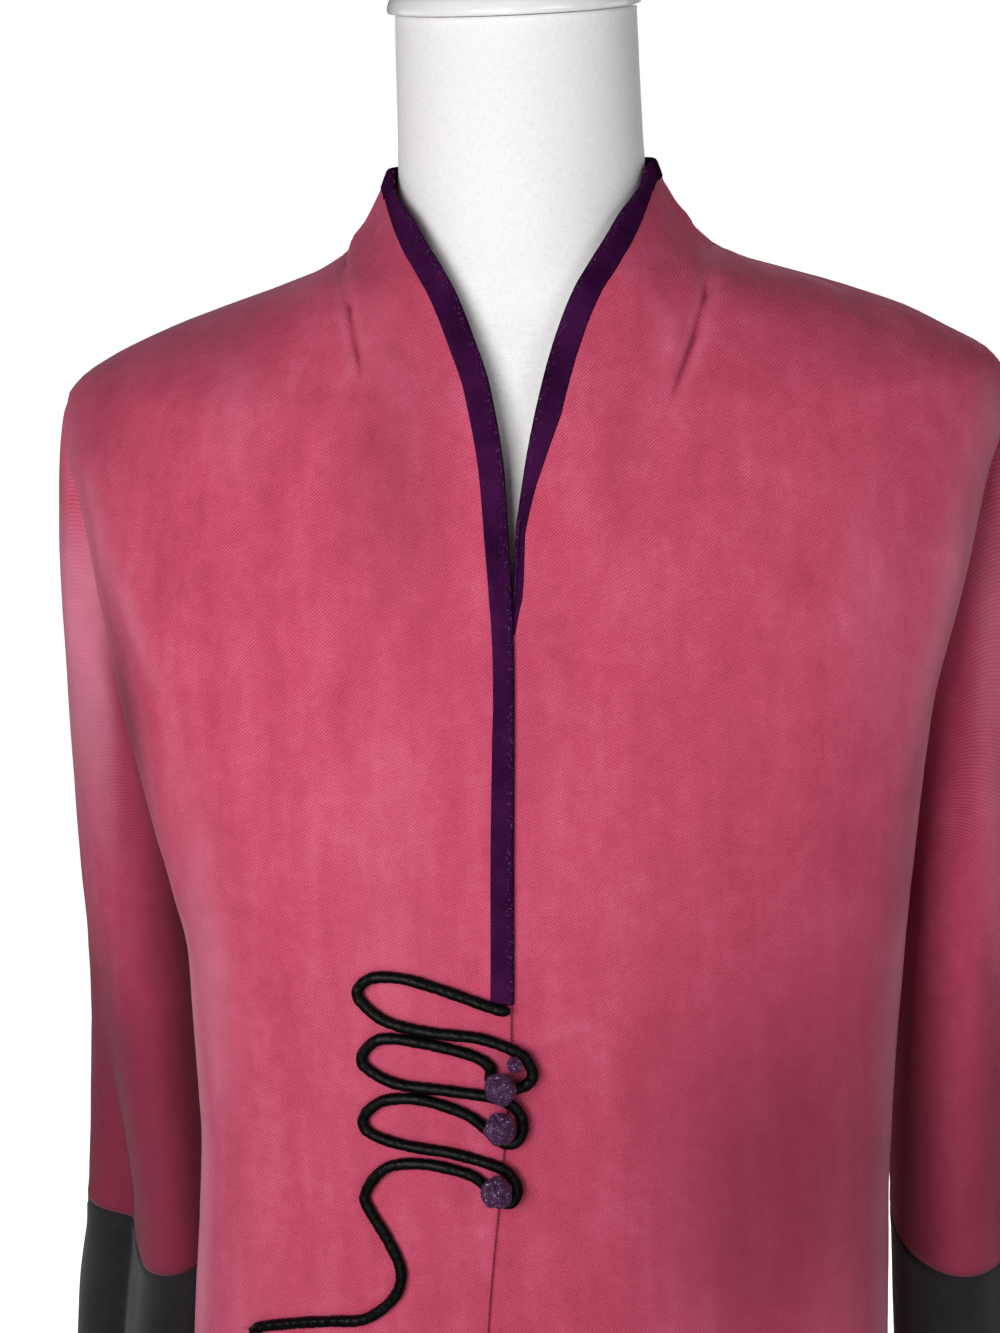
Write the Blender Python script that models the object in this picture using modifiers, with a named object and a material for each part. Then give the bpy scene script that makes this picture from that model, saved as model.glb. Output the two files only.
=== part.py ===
"""Tang jacket standing on a limbless dress form.

Frame: metres, +Z up, the front of the jacket faces -Y, the wearer's left is
+X, and the origin is on the floor under the form's axis.  Heights in the
tables are measured from the neck point, the top of the shoulder seam where
it meets the collar, so a height of -0.10 lies 100 mm below it.
"""
import math

import bmesh
import bpy
from mathutils import Matrix, Vector

for old in list(bpy.data.objects):
    bpy.data.objects.remove(old, do_unlink=True)

# ---------------------------------------------------------------- sizes
NECK_POINT = 1.400        # height of the neck point above the floor
WALL = 0.0015             # twill with its facing, one wall
SEAM = 0.0003             # half of the gap left where two pieces meet
SHOULDER_TIP = -0.058     # top of the armhole
UNDERARM = -0.285         # bottom of the armhole
ARM_STEPS = 12            # rows down the armhole, twice as many round a sleeve
SIDE_SEAM = 100.0         # degrees round from centre front
SLEEVE_TUBE = -0.335      # height at which the sleeve's rings turn level
BAND_TOP = -0.497         # seam between the sleeve and its cuff band
CUFF_END = -0.655
HEM = -0.700
BINDING_WIDTH = 0.010
BINDING_WALL = 0.0010
BINDING_GAP = 0.0003
TUCK = 0.0024             # how far the left front goes in under the right
CORD_RADIUS = 0.00235
CORD_GAP = 0.0004
BALL_RADIUS = 0.0073
BALL_HEIGHT = 0.0127      # middle of a knot button above the cloth
STEM_RADIUS = 0.0015
KNOB_RADIUS = 0.0036
CAP_RADIUS = 0.0578
CAP_TILT = 4.8            # degrees, the neck block leans forward
CAP_SEAT = 0.108
POLE_RADIUS = 0.0125
BASE_RADIUS = 0.180
BASE_THICKNESS = 0.014

# Level sections of the jacket body.  right / left: half width on the
# wearer's right and left; seam_y: depth of the widest point; front / back:
# reach of the section to the front and to the back; squareness of each half.
BODY_COLUMNS = ("height", "right", "left", "seam_y", "front", "back", "front_n", "back_n")
BODY_ROWS = (
    (0.046, 0.0588, 0.0588, 0.012, 0.0500, 0.0660, 2.00, 2.00),
    (0.031, 0.0655, 0.0638, 0.012, 0.0600, 0.0680, 2.00, 2.00),
    (0.015, 0.0735, 0.0710, 0.012, 0.0640, 0.0705, 2.00, 2.00),
    (0.000, 0.0860, 0.0860, 0.012, 0.0680, 0.0740, 2.00, 2.00),
    (-0.010, 0.1120, 0.1165, 0.012, 0.0705, 0.0775, 2.00, 2.00),
    (-0.020, 0.1430, 0.1485, 0.012, 0.0740, 0.0815, 2.00, 2.00),
    (-0.030, 0.1720, 0.1755, 0.011, 0.0785, 0.0860, 2.00, 2.00),
    (-0.040, 0.1940, 0.1940, 0.009, 0.0830, 0.0900, 2.05, 2.00),
    (-0.050, 0.2110, 0.2110, 0.006, 0.0875, 0.0940, 2.10, 2.00),
    (-0.058, 0.2165, 0.2165, 0.002, 0.0915, 0.0970, 2.15, 2.00),
    (-0.080, 0.2160, 0.2155, -0.010, 0.0985, 0.1040, 2.25, 2.05),
    (-0.100, 0.2095, 0.2085, -0.018, 0.1045, 0.1085, 2.35, 2.10),
    (-0.150, 0.1990, 0.1955, -0.034, 0.1165, 0.1150, 2.50, 2.10),
    (-0.200, 0.1905, 0.1820, -0.039, 0.1240, 0.1170, 2.60, 2.05),
    (-0.250, 0.1805, 0.1755, -0.041, 0.1290, 0.1165, 2.65, 2.00),
    (-0.320, 0.1670, 0.1680, -0.045, 0.1300, 0.1120, 2.70, 1.95),
    (-0.390, 0.1670, 0.1635, -0.045, 0.1300, 0.1110, 2.70, 1.95),
    (-0.450, 0.1715, 0.1610, -0.047, 0.1310, 0.1180, 2.65, 2.00),
    (-0.520, 0.1785, 0.1610, -0.050, 0.1335, 0.1250, 2.60, 2.02),
    (-0.610, 0.1820, 0.1650, -0.048, 0.1375, 0.1310, 2.50, 2.05),
    (-0.700, 0.1870, 0.1720, -0.042, 0.1410, 0.1360, 2.40, 2.05),
)

# Free edges of the two fronts: sideways place of each edge at a height.
EDGE_COLUMNS = ("height", "right_front", "left_front")
EDGE_ROWS = (
    (0.042, -0.0560, 0.0560),
    (0.036, -0.0548, 0.0548),
    (0.031, -0.0527, 0.0527),
    (0.020, -0.0468, 0.0468),
    (0.010, -0.0405, 0.0405),
    (0.000, -0.0335, 0.0335),
    (-0.010, -0.0275, 0.0268),
    (-0.030, -0.0190, 0.0180),
    (-0.050, -0.0122, 0.0118),
    (-0.087, -0.0065, 0.0035),
    (-0.113, -0.0053, -0.0003),
    (-0.135, -0.0045, -0.0020),
    (-0.160, -0.0042, -0.0070),
    (-0.200, -0.0052, -0.0160),
    (-0.250, -0.0070, -0.0240),
    (-0.313, -0.0092, -0.0300),
    (-0.345, -0.0108, -0.0330),
    (-0.383, -0.0150, -0.0365),
    (-0.475, -0.0260, -0.0470),
    (-0.550, -0.0310, -0.0520),
    (-0.700, -0.0360, -0.0570),
)

# Hanging sleeves below the armhole.  x / y: middle of the level section;
# thick / deep: its half sizes across and front to back; turn: degrees the
# front end swings in towards the body; fold: depth of the long fold on the
# outer front side, as a share of the section's radius.
SLEEVE_COLUMNS = ("height", "x", "y", "thick", "deep", "turn", "fold")
SLEEVE_ROWS = {
    "right": (
        (-0.335, 0.2074, 0.045, 0.0335, 0.080, 6.0, 0.04),
        (-0.400, 0.2115, 0.041, 0.0330, 0.081, 13.0, 0.18),
        (-0.450, 0.2155, 0.038, 0.0325, 0.081, 18.0, 0.38),
        (-0.497, 0.2200, 0.037, 0.0320, 0.080, 21.0, 0.50),
        (-0.560, 0.2305, 0.036, 0.0320, 0.079, 21.0, 0.55),
        (-0.655, 0.2400, 0.036, 0.0330, 0.076, 20.0, 0.52),
    ),
    "left": (
        (-0.335, 0.2036, 0.043, 0.0340, 0.080, 4.0, 0.00),
        (-0.400, 0.2045, 0.040, 0.0340, 0.079, 5.0, 0.04),
        (-0.450, 0.2045, 0.038, 0.0345, 0.078, 5.0, 0.07),
        (-0.497, 0.2060, 0.036, 0.0350, 0.076, 6.0, 0.10),
        (-0.560, 0.2085, 0.034, 0.0360, 0.074, 6.0, 0.12),
        (-0.655, 0.2120, 0.032, 0.0370, 0.072, 6.0, 0.12),
    ),
}
FOLD_PLACE = 38.0         # degrees from the outer side towards the front
FOLD_SPREAD = 19.0
SEAM_LIFT = {"right": 0.013, "left": 0.0}   # the band's seam rides up at the fold

# Level sections of the dress form.
FORM_COLUMNS = ("height", "half", "front", "back")
FORM_ROWS = (
    (0.108, 0.0543, 0.0510, 0.0570),
    (0.075, 0.0550, 0.0515, 0.0580),
    (0.045, 0.0560, 0.0525, 0.0595),
    (0.022, 0.0576, 0.0540, 0.0615),
    (0.008, 0.0610, 0.0558, 0.0640),
    (0.000, 0.0690, 0.0575, 0.0660),
    (-0.0065, 0.0860, 0.0590, 0.0685),
    (-0.015, 0.1120, 0.0610, 0.0715),
    (-0.025, 0.1430, 0.0640, 0.0755),
    (-0.035, 0.1700, 0.0680, 0.0795),
    (-0.046, 0.1885, 0.0720, 0.0830),
    (-0.060, 0.1980, 0.0770, 0.0870),
    (-0.076, 0.1985, 0.0820, 0.0905),
    (-0.100, 0.1915, 0.0885, 0.0950),
    (-0.130, 0.1800, 0.0965, 0.0990),
    (-0.175, 0.1640, 0.1060, 0.1020),
    (-0.220, 0.1500, 0.1125, 0.1020),
    (-0.260, 0.1420, 0.1145, 0.0995),
    (-0.310, 0.1310, 0.1070, 0.0930),
    (-0.370, 0.1220, 0.0930, 0.0860),
    (-0.430, 0.1270, 0.0930, 0.0900),
    (-0.500, 0.1400, 0.0990, 0.0980),
    (-0.570, 0.1500, 0.1040, 0.1040),
    (-0.635, 0.1520, 0.1050, 0.1060),
    (-0.668, 0.1480, 0.1010, 0.1030),
    (-0.684, 0.1340, 0.0900, 0.0920),
)

# Route of the frog's cord over the fronts: sideways place and height, both
# in millimetres, at its bends and along its runs.
CORD_COLUMNS = ("x", "height")
CORD_ROWS = (
    (-9.7, -317.1), (-14.9, -316.2), (-22.7, -313.3), (-40.4, -306.4),
    (-56.1, -301.5), (-69.1, -301.4), (-75.7, -306.8), (-74.6, -312.8),
    (-64.3, -321.4), (-46.2, -326.6), (-23.4, -329.7), (-6.9, -336.4),
    (-1.9, -342.4), (-0.9, -347.6), (-4.0, -351.7), (-9.6, -353.5),
    (-15.6, -353.7), (-19.6, -349.4), (-19.4, -343.8), (-24.0, -339.2),
    (-34.2, -335.4), (-50.9, -331.3), (-62.5, -329.6), (-69.8, -331.2),
    (-75.6, -338.3), (-73.6, -344.4), (-60.9, -351.2), (-38.2, -354.5),
    (-20.1, -357.3), (-10.9, -361.1), (-6.7, -367.0), (-6.0, -373.3),
    (-9.4, -378.9), (-15.2, -379.3), (-20.7, -374.2), (-30.7, -365.9),
    (-47.8, -359.5), (-59.0, -358.3), (-69.0, -360.4), (-76.6, -368.0),
    (-74.6, -375.2), (-60.1, -380.8), (-37.3, -384.8), (-17.4, -391.2),
    (-11.4, -397.0), (-9.6, -403.2), (-12.7, -408.4), (-18.2, -407.0),
    (-24.0, -400.0), (-31.4, -394.6), (-49.2, -390.2), (-64.0, -390.9),
    (-72.4, -396.4), (-78.3, -406.6), (-76.4, -414.2), (-68.9, -428.6),
    (-63.8, -443.4), (-67.6, -456.4), (-81.0, -467.8), (-97.3, -471.2),
    (-113.4, -474.4), (-129.0, -478.4), (-136.0, -482.0),
)
CORD_SPACING = 0.0062

# Knot buttons on the ends of the three loops.
BUTTON_COLUMNS = ("x", "height")
BUTTON_ROWS = ((-14.2, -349.0), (-15.4, -368.2), (-17.9, -398.5))
KNOB_PLACE = (-8.0, -339.3, 9.0)     # x, height and lift, millimetres


# ---------------------------------------------------------------- tables
def pchip(xs, ys, x):
    """Monotone cubic through a table's column, so outlines never ripple."""
    n = len(xs)
    if x <= xs[0]:
        return ys[0]
    if x >= xs[-1]:
        return ys[-1]
    k = 0
    while x > xs[k + 1]:
        k += 1
    h = [xs[i + 1] - xs[i] for i in range(n - 1)]
    d = [(ys[i + 1] - ys[i]) / h[i] for i in range(n - 1)]

    def slope(i):
        if i == 0:
            return d[0]
        if i == n - 1:
            return d[-1]
        if d[i - 1] * d[i] <= 0.0:
            return 0.0
        w1 = 2 * h[i] + h[i - 1]
        w2 = h[i] + 2 * h[i - 1]
        return (w1 + w2) / (w1 / d[i - 1] + w2 / d[i])

    t = (x - xs[k]) / h[k]
    a, b = slope(k), slope(k + 1)
    return ((1 + 2 * t) * (1 - t) ** 2 * ys[k] + t * (1 - t) ** 2 * h[k] * a
            + t * t * (3 - 2 * t) * ys[k + 1] + t * t * (t - 1) * h[k] * b)


def table(columns, rows):
    """Columns of a table as functions of its first column."""
    ordered = sorted(rows)
    xs = [r[0] for r in ordered]
    return {name: (lambda x, ys=[r[i] for r in ordered]: pchip(xs, ys, x))
            for i, name in enumerate(columns) if i}


BODY = table(BODY_COLUMNS, BODY_ROWS)
EDGE = table(EDGE_COLUMNS, EDGE_ROWS)
FORM = table(FORM_COLUMNS, FORM_ROWS)
SLEEVE = {side: table(SLEEVE_COLUMNS, rows) for side, rows in SLEEVE_ROWS.items()}


def smooth(t):
    t = max(0.0, min(1.0, t))
    return t * t * (3 - 2 * t)


def signed_power(v, p):
    return math.copysign(abs(v) ** p, v)


# ---------------------------------------------------------------- body surface
def body_point(angle, height):
    """Point of the jacket's outer surface; angle in degrees from centre
    front, positive towards the wearer's left."""
    a = math.radians(angle)
    half = BODY["left"](height) if angle >= 0 else BODY["right"](height)
    seam = BODY["seam_y"](height)
    s, c = math.sin(a), math.cos(a)
    if c >= 0:
        p = 2.0 / BODY["front_n"](height)
        return Vector((half * signed_power(s, p),
                       seam - (BODY["front"](height) + seam) * signed_power(c, p),
                       NECK_POINT + height))
    p = 2.0 / BODY["back_n"](height)
    return Vector((half * signed_power(s, p),
                   seam - (BODY["back"](height) - seam) * signed_power(c, p),
                   NECK_POINT + height))


def body_normal(angle, height):
    across = body_point(angle + 0.4, height) - body_point(angle - 0.4, height)
    up = body_point(angle, height + 0.0006) - body_point(angle, height - 0.0006)
    return across.cross(up).normalized()


def body_at(angle, height, lift=0.0):
    return body_point(angle, height) + body_normal(angle, height) * lift


def angle_at(x, height):
    """Angle at which the front of the level section crosses a given x."""
    half = BODY["left"](height) if x >= 0 else BODY["right"](height)
    ratio = min(0.999, abs(x) / half) ** (BODY["front_n"](height) / 2.0)
    return math.copysign(math.degrees(math.asin(ratio)), x)


def tuck(x, height):
    """How far the left front lies inside the right one near the closing."""
    return TUCK * smooth((-0.088 - height) / 0.035) * smooth((0.042 - x) / 0.032)


def armhole_angles(height):
    """Angles of the front and the back panel's edge at a height."""
    if height >= SHOULDER_TIP:
        return 90.0, 90.0
    if height <= UNDERARM:
        return SIDE_SEAM, SIDE_SEAM
    mid = (SHOULDER_TIP + UNDERARM) / 2
    u = math.acos(max(-1.0, min(1.0, (height - mid) / (SHOULDER_TIP - mid)))) / math.pi
    base = 90.0 + (SIDE_SEAM - 90.0) * smooth(u * 2.0)
    return base + 2.0 * math.sin(math.pi * u), base + 29.0 * math.sin(math.pi * u) ** 0.9


COLLAR_LEVELS = (0.040, 0.036, 0.031, 0.022, 0.011, 0.000, -0.010, -0.020, -0.030, -0.040, -0.050)
ARM_MID = (SHOULDER_TIP + UNDERARM) / 2
ARM_LEVELS = tuple(ARM_MID + (SHOULDER_TIP - ARM_MID) * math.cos(math.pi * i / ARM_STEPS)
                   for i in range(ARM_STEPS + 1))
LOW_LEVELS = (-0.3105, -0.345, -0.390, -0.440, -0.500, -0.560, -0.630, HEM)
LEVELS = COLLAR_LEVELS + ARM_LEVELS + LOW_LEVELS


def spread(first, last, height, count, sign=1.0, power=1.0):
    """Angles of a row's columns: half way between even angles, which follow
    the rounded corners, and even distances along the cloth."""
    parts = 48
    angles = [first + (last - first) * i / parts for i in range(parts + 1)]
    points = [body_point(sign * a, height) for a in angles]
    run = [0.0]
    for i in range(parts):
        run.append(run[-1] + (points[i + 1] - points[i]).length)
    out = []
    for i in range(1, count + 1):
        u = 1.0 - (1.0 - i / count) ** power
        goal = u * run[-1]
        k = 0
        while k < parts - 1 and run[k + 1] < goal:
            k += 1
        by_length = angles[k] + (angles[k + 1] - angles[k]) * (goal - run[k]) / (run[k + 1] - run[k])
        by_angle = first + (last - first) * u
        out.append(0.5 * by_length + 0.5 * by_angle)
    return out


def surface_step(angle, height):
    """Length of surface for one degree round the section."""
    return (body_point(angle + 0.5, height) - body_point(angle - 0.5, height)).length


def front_row(side, height, width):
    """Angles of one front panel's columns: edge, middle and inner border of
    its binding, then the panel as far as its seam."""
    sign = 1.0 if side == "left" else -1.0
    name = side + "_front"
    x = EDGE[name](height)
    start = angle_at(x, height)
    reach = 0.0015
    top = min(height + reach, COLLAR_LEVELS[0])
    low = top - 2 * reach
    along = (body_point(angle_at(EDGE[name](top), top), top)
             - body_point(angle_at(EDGE[name](low), low), low)).normalized()
    across = (body_point(start + 0.5, height) - body_point(start - 0.5, height)).normalized()
    slant = max(0.35, math.sqrt(max(0.0, 1.0 - along.dot(across) ** 2)))
    end = armhole_angles(height)[0]
    step = surface_step(start, height)
    end -= SEAM / surface_step(sign * (end - 1.0), height)
    border = min(abs(width / slant / step), 0.62 * (end - start * sign))
    columns = [start, start + sign * border / 2, start + sign * border]
    power = 1.0 + 0.35 * smooth((height + 0.12) / 0.05)
    columns += [sign * a for a in spread(columns[-1] * sign, end, height, 10, sign, power)]
    return columns


def binding_width(side, height):
    if side == "right":
        return BINDING_WIDTH
    return BINDING_WIDTH * max(0.22, min(1.0, (height + 0.124) / 0.062))


def front_lift(side, angle, height):
    return -tuck(body_point(angle, height).x, height) if side == "left" else 0.0


# ---------------------------------------------------------------- builders
MATERIALS = {}


def material(name, colour, roughness, metallic=0.0):
    if name not in MATERIALS:
        m = bpy.data.materials.new(name)
        m.use_nodes = True
        node = m.node_tree.nodes["Principled BSDF"]
        node.inputs["Base Color"].default_value = (*colour, 1.0)
        node.inputs["Roughness"].default_value = roughness
        node.inputs["Metallic"].default_value = metallic
        m.diffuse_color = (*colour, 1.0)
        MATERIALS[name] = m
    return MATERIALS[name]


PINK = ("rose twill", (0.60, 0.085, 0.155), 0.86)
PURPLE = ("purple satin", (0.055, 0.012, 0.055), 0.42)
BLACK = ("black satin cord", (0.008, 0.009, 0.009), 0.38)
KNOT = ("purple knotted cord", (0.075, 0.018, 0.105), 0.48)
GREY = ("charcoal suede", (0.030, 0.030, 0.033), 0.92)
LINEN = ("white linen", (0.80, 0.80, 0.79), 0.90)
GLOSS = ("white enamel", (0.86, 0.86, 0.85), 0.20)
STEEL = ("brushed steel", (0.60, 0.60, 0.60), 0.35, 1.0)
PAINT = ("white painted steel", (0.78, 0.78, 0.77), 0.40)

collection = bpy.data.collections.new("tang_jacket_on_form")
bpy.context.scene.collection.children.link(collection)
root = bpy.data.objects.new("tang_jacket", None)
collection.objects.link(root)


def place(obj, finish):
    collection.objects.link(obj)
    obj.parent = root
    obj.data.materials.append(material(*finish))
    return obj


def sheet(name, grid, finish, wall=WALL, ring=False, outward=None):
    """A cloth wall: a grid of outer points, thickened inwards."""
    bm = bmesh.new()
    rows = [[bm.verts.new(p) for p in row] for row in grid]
    count = len(rows[0])
    for r in range(len(rows) - 1):
        for c in range(count if ring else count - 1):
            d = (c + 1) % count
            bm.faces.new((rows[r][c], rows[r + 1][c], rows[r + 1][d], rows[r][d]))
    bm.normal_update()
    total = 0.0
    for f in bm.faces:
        centre = f.calc_center_median()
        total += f.calc_area() * f.normal.dot(centre - outward(centre))
    if total < 0:
        bmesh.ops.reverse_faces(bm, faces=bm.faces)
    mesh = bpy.data.meshes.new(name)
    bm.to_mesh(mesh)
    bm.free()
    mesh.shade_smooth()
    obj = place(bpy.data.objects.new(name, mesh), finish)
    solid = obj.modifiers.new("wall", "SOLIDIFY")
    solid.thickness = wall
    solid.offset = -1.0
    return obj


def solid_loft(name, rings, finish):
    """A closed body through like rings, top to bottom."""
    bm = bmesh.new()
    rows = [[bm.verts.new(p) for p in ring] for ring in rings]
    count = len(rows[0])
    for r in range(len(rows) - 1):
        for c in range(count):
            d = (c + 1) % count
            bm.faces.new((rows[r][c], rows[r + 1][c], rows[r + 1][d], rows[r][d]))
    bm.faces.new(rows[0])
    bm.faces.new(list(reversed(rows[-1])))
    bmesh.ops.recalc_face_normals(bm, faces=bm.faces)
    mesh = bpy.data.meshes.new(name)
    bm.to_mesh(mesh)
    bm.free()
    mesh.shade_smooth()
    mesh.set_sharp_from_angle(angle=math.radians(50))
    return place(bpy.data.objects.new(name, mesh), finish)


def turned(name, profile, finish, matrix, steps=24):
    """A turned piece: its outer side runs from the top down."""
    mesh = bpy.data.meshes.new(name)
    mesh.from_pydata([(r, 0.0, z) for r, z in profile],
                     [(i, i + 1) for i in range(len(profile) - 1)], [])
    obj = place(bpy.data.objects.new(name, mesh), finish)
    obj.matrix_world = matrix
    screw = obj.modifiers.new("turn", "SCREW")
    screw.axis = "Z"
    screw.angle = math.radians(360)
    screw.steps = steps
    screw.render_steps = steps
    screw.use_merge_vertices = True
    screw.merge_threshold = 0.00005
    screw.use_smooth_shade = True
    return obj


def body_axis(p):
    return Vector((0.0, 0.0, p.z))


# ---------------------------------------------------------------- fronts
for side in ("right", "left"):
    grid = []
    for h in LEVELS:
        grid.append([body_at(a, h, front_lift(side, a, h))
                     for a in front_row(side, h, binding_width(side, h))])
    sheet("front_" + side, grid, PINK, outward=body_axis)

    low = -0.3105 if side == "right" else -0.128
    strip = []
    for h in LEVELS:
        if h < low - 1e-6:
            break
        strip.append([body_at(a, h, front_lift(side, a, h) + BINDING_GAP + BINDING_WALL)
                      for a in front_row(side, h, binding_width(side, h))[:3]])
    sheet("binding_" + side, strip, PURPLE, wall=BINDING_WALL, outward=body_axis)

# ---------------------------------------------------------------- back
BACK_COLUMNS = 16


def back_row(height):
    """Angles round the back, from the left seam to the right one."""
    start = armhole_angles(height)[1]
    start += SEAM / surface_step(start + 1.0, height)
    angles = []
    for i in range(BACK_COLUMNS + 1):
        u = i / BACK_COLUMNS
        angles.append(start + (360.0 - 2 * start) * (u - 0.055 * math.sin(2 * math.pi * u)))
    return [a if a <= 180.0 else a - 360.0 for a in angles]


sheet("back", [[body_at(a, h) for a in back_row(h)] for h in LEVELS], PINK, outward=body_axis)
sheet("binding_back", [[body_at(a, h, BINDING_GAP + BINDING_WALL) for a in back_row(h)]
                       for h in COLLAR_LEVELS[:3]], PURPLE, wall=BINDING_WALL, outward=body_axis)


# ---------------------------------------------------------------- sleeves
def sleeve_section(side, height, k):
    """Point k of a level ring of the sleeve: 0 on the outer side, then
    front, inner side and back."""
    s = 1.0 if side == "left" else -1.0
    t = SLEEVE[side]
    theta = 2 * math.pi * k / (2 * ARM_STEPS)
    turn = math.radians(t["turn"](height))
    away = math.degrees(theta) - FOLD_PLACE
    scale = 1.0 - t["fold"](height) * math.exp(-(away / FOLD_SPREAD) ** 2)
    u = t["thick"](height) * math.cos(theta) * scale
    v = t["deep"](height) * math.sin(theta) * scale
    lift = SEAM_LIFT[side] * math.exp(-((math.degrees(theta) - 12.0) / 30.0) ** 2)
    lift *= smooth((-0.43 - height) / 0.06) * smooth((height + 0.63) / 0.09)
    x = t["x"](height) + u * math.cos(turn) - v * math.sin(turn)
    y = t["y"](height) - u * math.sin(turn) - v * math.cos(turn)
    return Vector((s * x, y, NECK_POINT + height + lift))


def armhole_loop(side):
    """Closed loop of the armhole, from the shoulder tip down the front,
    through the underarm and up the back."""
    sign = 1.0 if side == "left" else -1.0
    loop = []
    for h in ARM_LEVELS:
        loop.append(body_point(sign * armhole_angles(h)[0], h))
    for h in reversed(ARM_LEVELS[1:-1]):
        loop.append(body_point(sign * armhole_angles(h)[1], h))
    centre = sum(loop, Vector()) / len(loop)
    return [p + (centre - p).normalized() * 3 * SEAM + Vector((sign * 0.0010, 0, 0)) for p in loop]


def sleeve_top(side, share, k, loop):
    """Ring between the armhole and the first level ring."""
    a = loop[k]
    b = sleeve_section(side, SLEEVE_TUBE, k)
    m = Vector((a.x + (b.x - a.x) * 0.78, a.y + (b.y - a.y) * 0.50, a.z + (b.z - a.z) * 0.10))
    top = max(0.0, math.cos(2 * math.pi * k / (2 * ARM_STEPS)))
    m.x += math.copysign(0.006 * top, a.x)
    return a * (1 - share) ** 2 + m * 2 * share * (1 - share) + b * share ** 2


TOP_STEPS = 7
for side in ("right", "left"):
    loop = armhole_loop(side)
    count = len(loop)
    grid = [[sleeve_top(side, i / TOP_STEPS, k, loop) for k in range(count)]
            for i in range(TOP_STEPS + 1)]
    for h in (-0.368, -0.400, -0.432, -0.465, BAND_TOP + SEAM):
        grid.append([sleeve_section(side, h, k) for k in range(count)])

    def tube_axis(p, side=side):
        t = SLEEVE[side]
        h = min(p.z - NECK_POINT, SLEEVE_TUBE)
        x = t["x"](h) if h < SLEEVE_TUBE - 0.001 else 0.192
        return Vector((math.copysign(x, p.x), t["y"](h), p.z))

    sheet("sleeve_" + side, grid, PINK, ring=True, outward=tube_axis)
    band = [[sleeve_section(side, h, k) for k in range(count)]
            for h in (BAND_TOP - SEAM, -0.530, -0.562, -0.595, -0.626, CUFF_END)]
    sheet("cuff_band_" + side, band, GREY, ring=True, outward=tube_axis)


# ---------------------------------------------------------------- frog
def catmull(points, spacing):
    """Evenly spaced points on a smooth curve through the given ones."""
    fine = []
    pts = [points[0]] + list(points) + [points[-1]]
    for i in range(1, len(pts) - 2):
        p0, p1, p2, p3 = pts[i - 1], pts[i], pts[i + 1], pts[i + 2]
        for j in range(12):
            t = j / 12
            fine.append(0.5 * (2 * p1 + (p2 - p0) * t + (2 * p0 - 5 * p1 + 4 * p2 - p3) * t * t
                               + (3 * p1 - p0 - 3 * p2 + p3) * t ** 3))
    fine.append(pts[-2])
    length = sum((fine[i + 1] - fine[i]).length for i in range(len(fine) - 1))
    count = max(2, round(length / spacing))
    out, run, goal = [fine[0]], 0.0, length / count
    for i in range(len(fine) - 1):
        seg = (fine[i + 1] - fine[i]).length
        while seg > 0 and run + seg >= goal * len(out) and len(out) < count:
            out.append(fine[i].lerp(fine[i + 1], (goal * len(out) - run) / seg))
        run += seg
    out.append(fine[-1])
    return out


flat = catmull([Vector((x / 1000, h / 1000)) for x, h in CORD_ROWS], CORD_SPACING)
curve = bpy.data.curves.new("frog_cord", "CURVE")
curve.dimensions = "3D"
curve.bevel_depth = CORD_RADIUS
curve.bevel_resolution = 2
curve.use_fill_caps = True
spline = curve.splines.new("POLY")
spline.points.add(len(flat) - 1)
for point, p in zip(spline.points, flat):
    place_at = body_at(angle_at(p.x, p.y), p.y, CORD_RADIUS + CORD_GAP)
    point.co = (*place_at, 1.0)
place(bpy.data.objects.new("frog_cord", curve), BLACK)


def on_cloth(x, height, lift=0.0):
    """Frame on the cloth at a place: its Z axis is the cloth's normal."""
    a = angle_at(x, height)
    n = body_normal(a, height)
    return Matrix.Translation(body_at(a, height, lift)) @ n.to_track_quat("Z", "Y").to_matrix().to_4x4()


def ball_profile(radius, middle, stem=None, foot=0.0, parts=8):
    """From the top of the ball down its side, then down its stem."""
    points = [(0.0, middle + radius)]
    last = math.pi if stem is None else math.pi - math.asin(stem / radius)
    for i in range(1, parts + 1):
        t = last * i / parts
        r = radius * math.sin(t) if (stem is not None or i < parts) else 0.0
        points.append((r, middle + radius * math.cos(t)))
    if stem is not None:
        points += [(stem, foot), (0.0, foot)]
    return points


for number, (x, h) in enumerate(BUTTON_ROWS, 1):
    turned("knot_button_%d" % number,
           ball_profile(BALL_RADIUS, BALL_HEIGHT, STEM_RADIUS, CORD_GAP),
           KNOT, on_cloth(x / 1000, h / 1000), steps=14)
turned("knot_knob", ball_profile(KNOB_RADIUS, KNOB_PLACE[2] / 1000, parts=7), KNOT,
       on_cloth(KNOB_PLACE[0] / 1000, KNOB_PLACE[1] / 1000), steps=12)

# ---------------------------------------------------------------- dress form
FORM_COUNT = 28


def form_ring(height):
    half, front, back = (FORM[c](height) for c in ("half", "front", "back"))
    lean = math.tan(math.radians(CAP_TILT)) * smooth((height - 0.045) / 0.06)
    ring = []
    for k in range(FORM_COUNT):
        t = 2 * math.pi * k / FORM_COUNT
        middle = (back - front) / 2 * smooth((height + 0.02) / 0.05)
        reach = (front + middle) if math.cos(t) > 0 else (back - middle)
        y = middle - reach * math.cos(t)
        ring.append(Vector((half * math.sin(t), y, NECK_POINT + height + lean * y)))
    return ring


FORM_LEVELS = (0.108, 0.085, 0.062, 0.042, 0.026, 0.014, 0.005, -0.001, -0.0065, -0.0135,
               -0.0215, -0.0300, -0.040, -0.051, -0.065, -0.085, -0.110, -0.140, -0.175,
               -0.215, -0.258, -0.305, -0.355, -0.405, -0.455, -0.510, -0.565, -0.615,
               -0.650, -0.670, -0.684)
solid_loft("form_torso", [form_ring(h) for h in FORM_LEVELS], LINEN)

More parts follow.
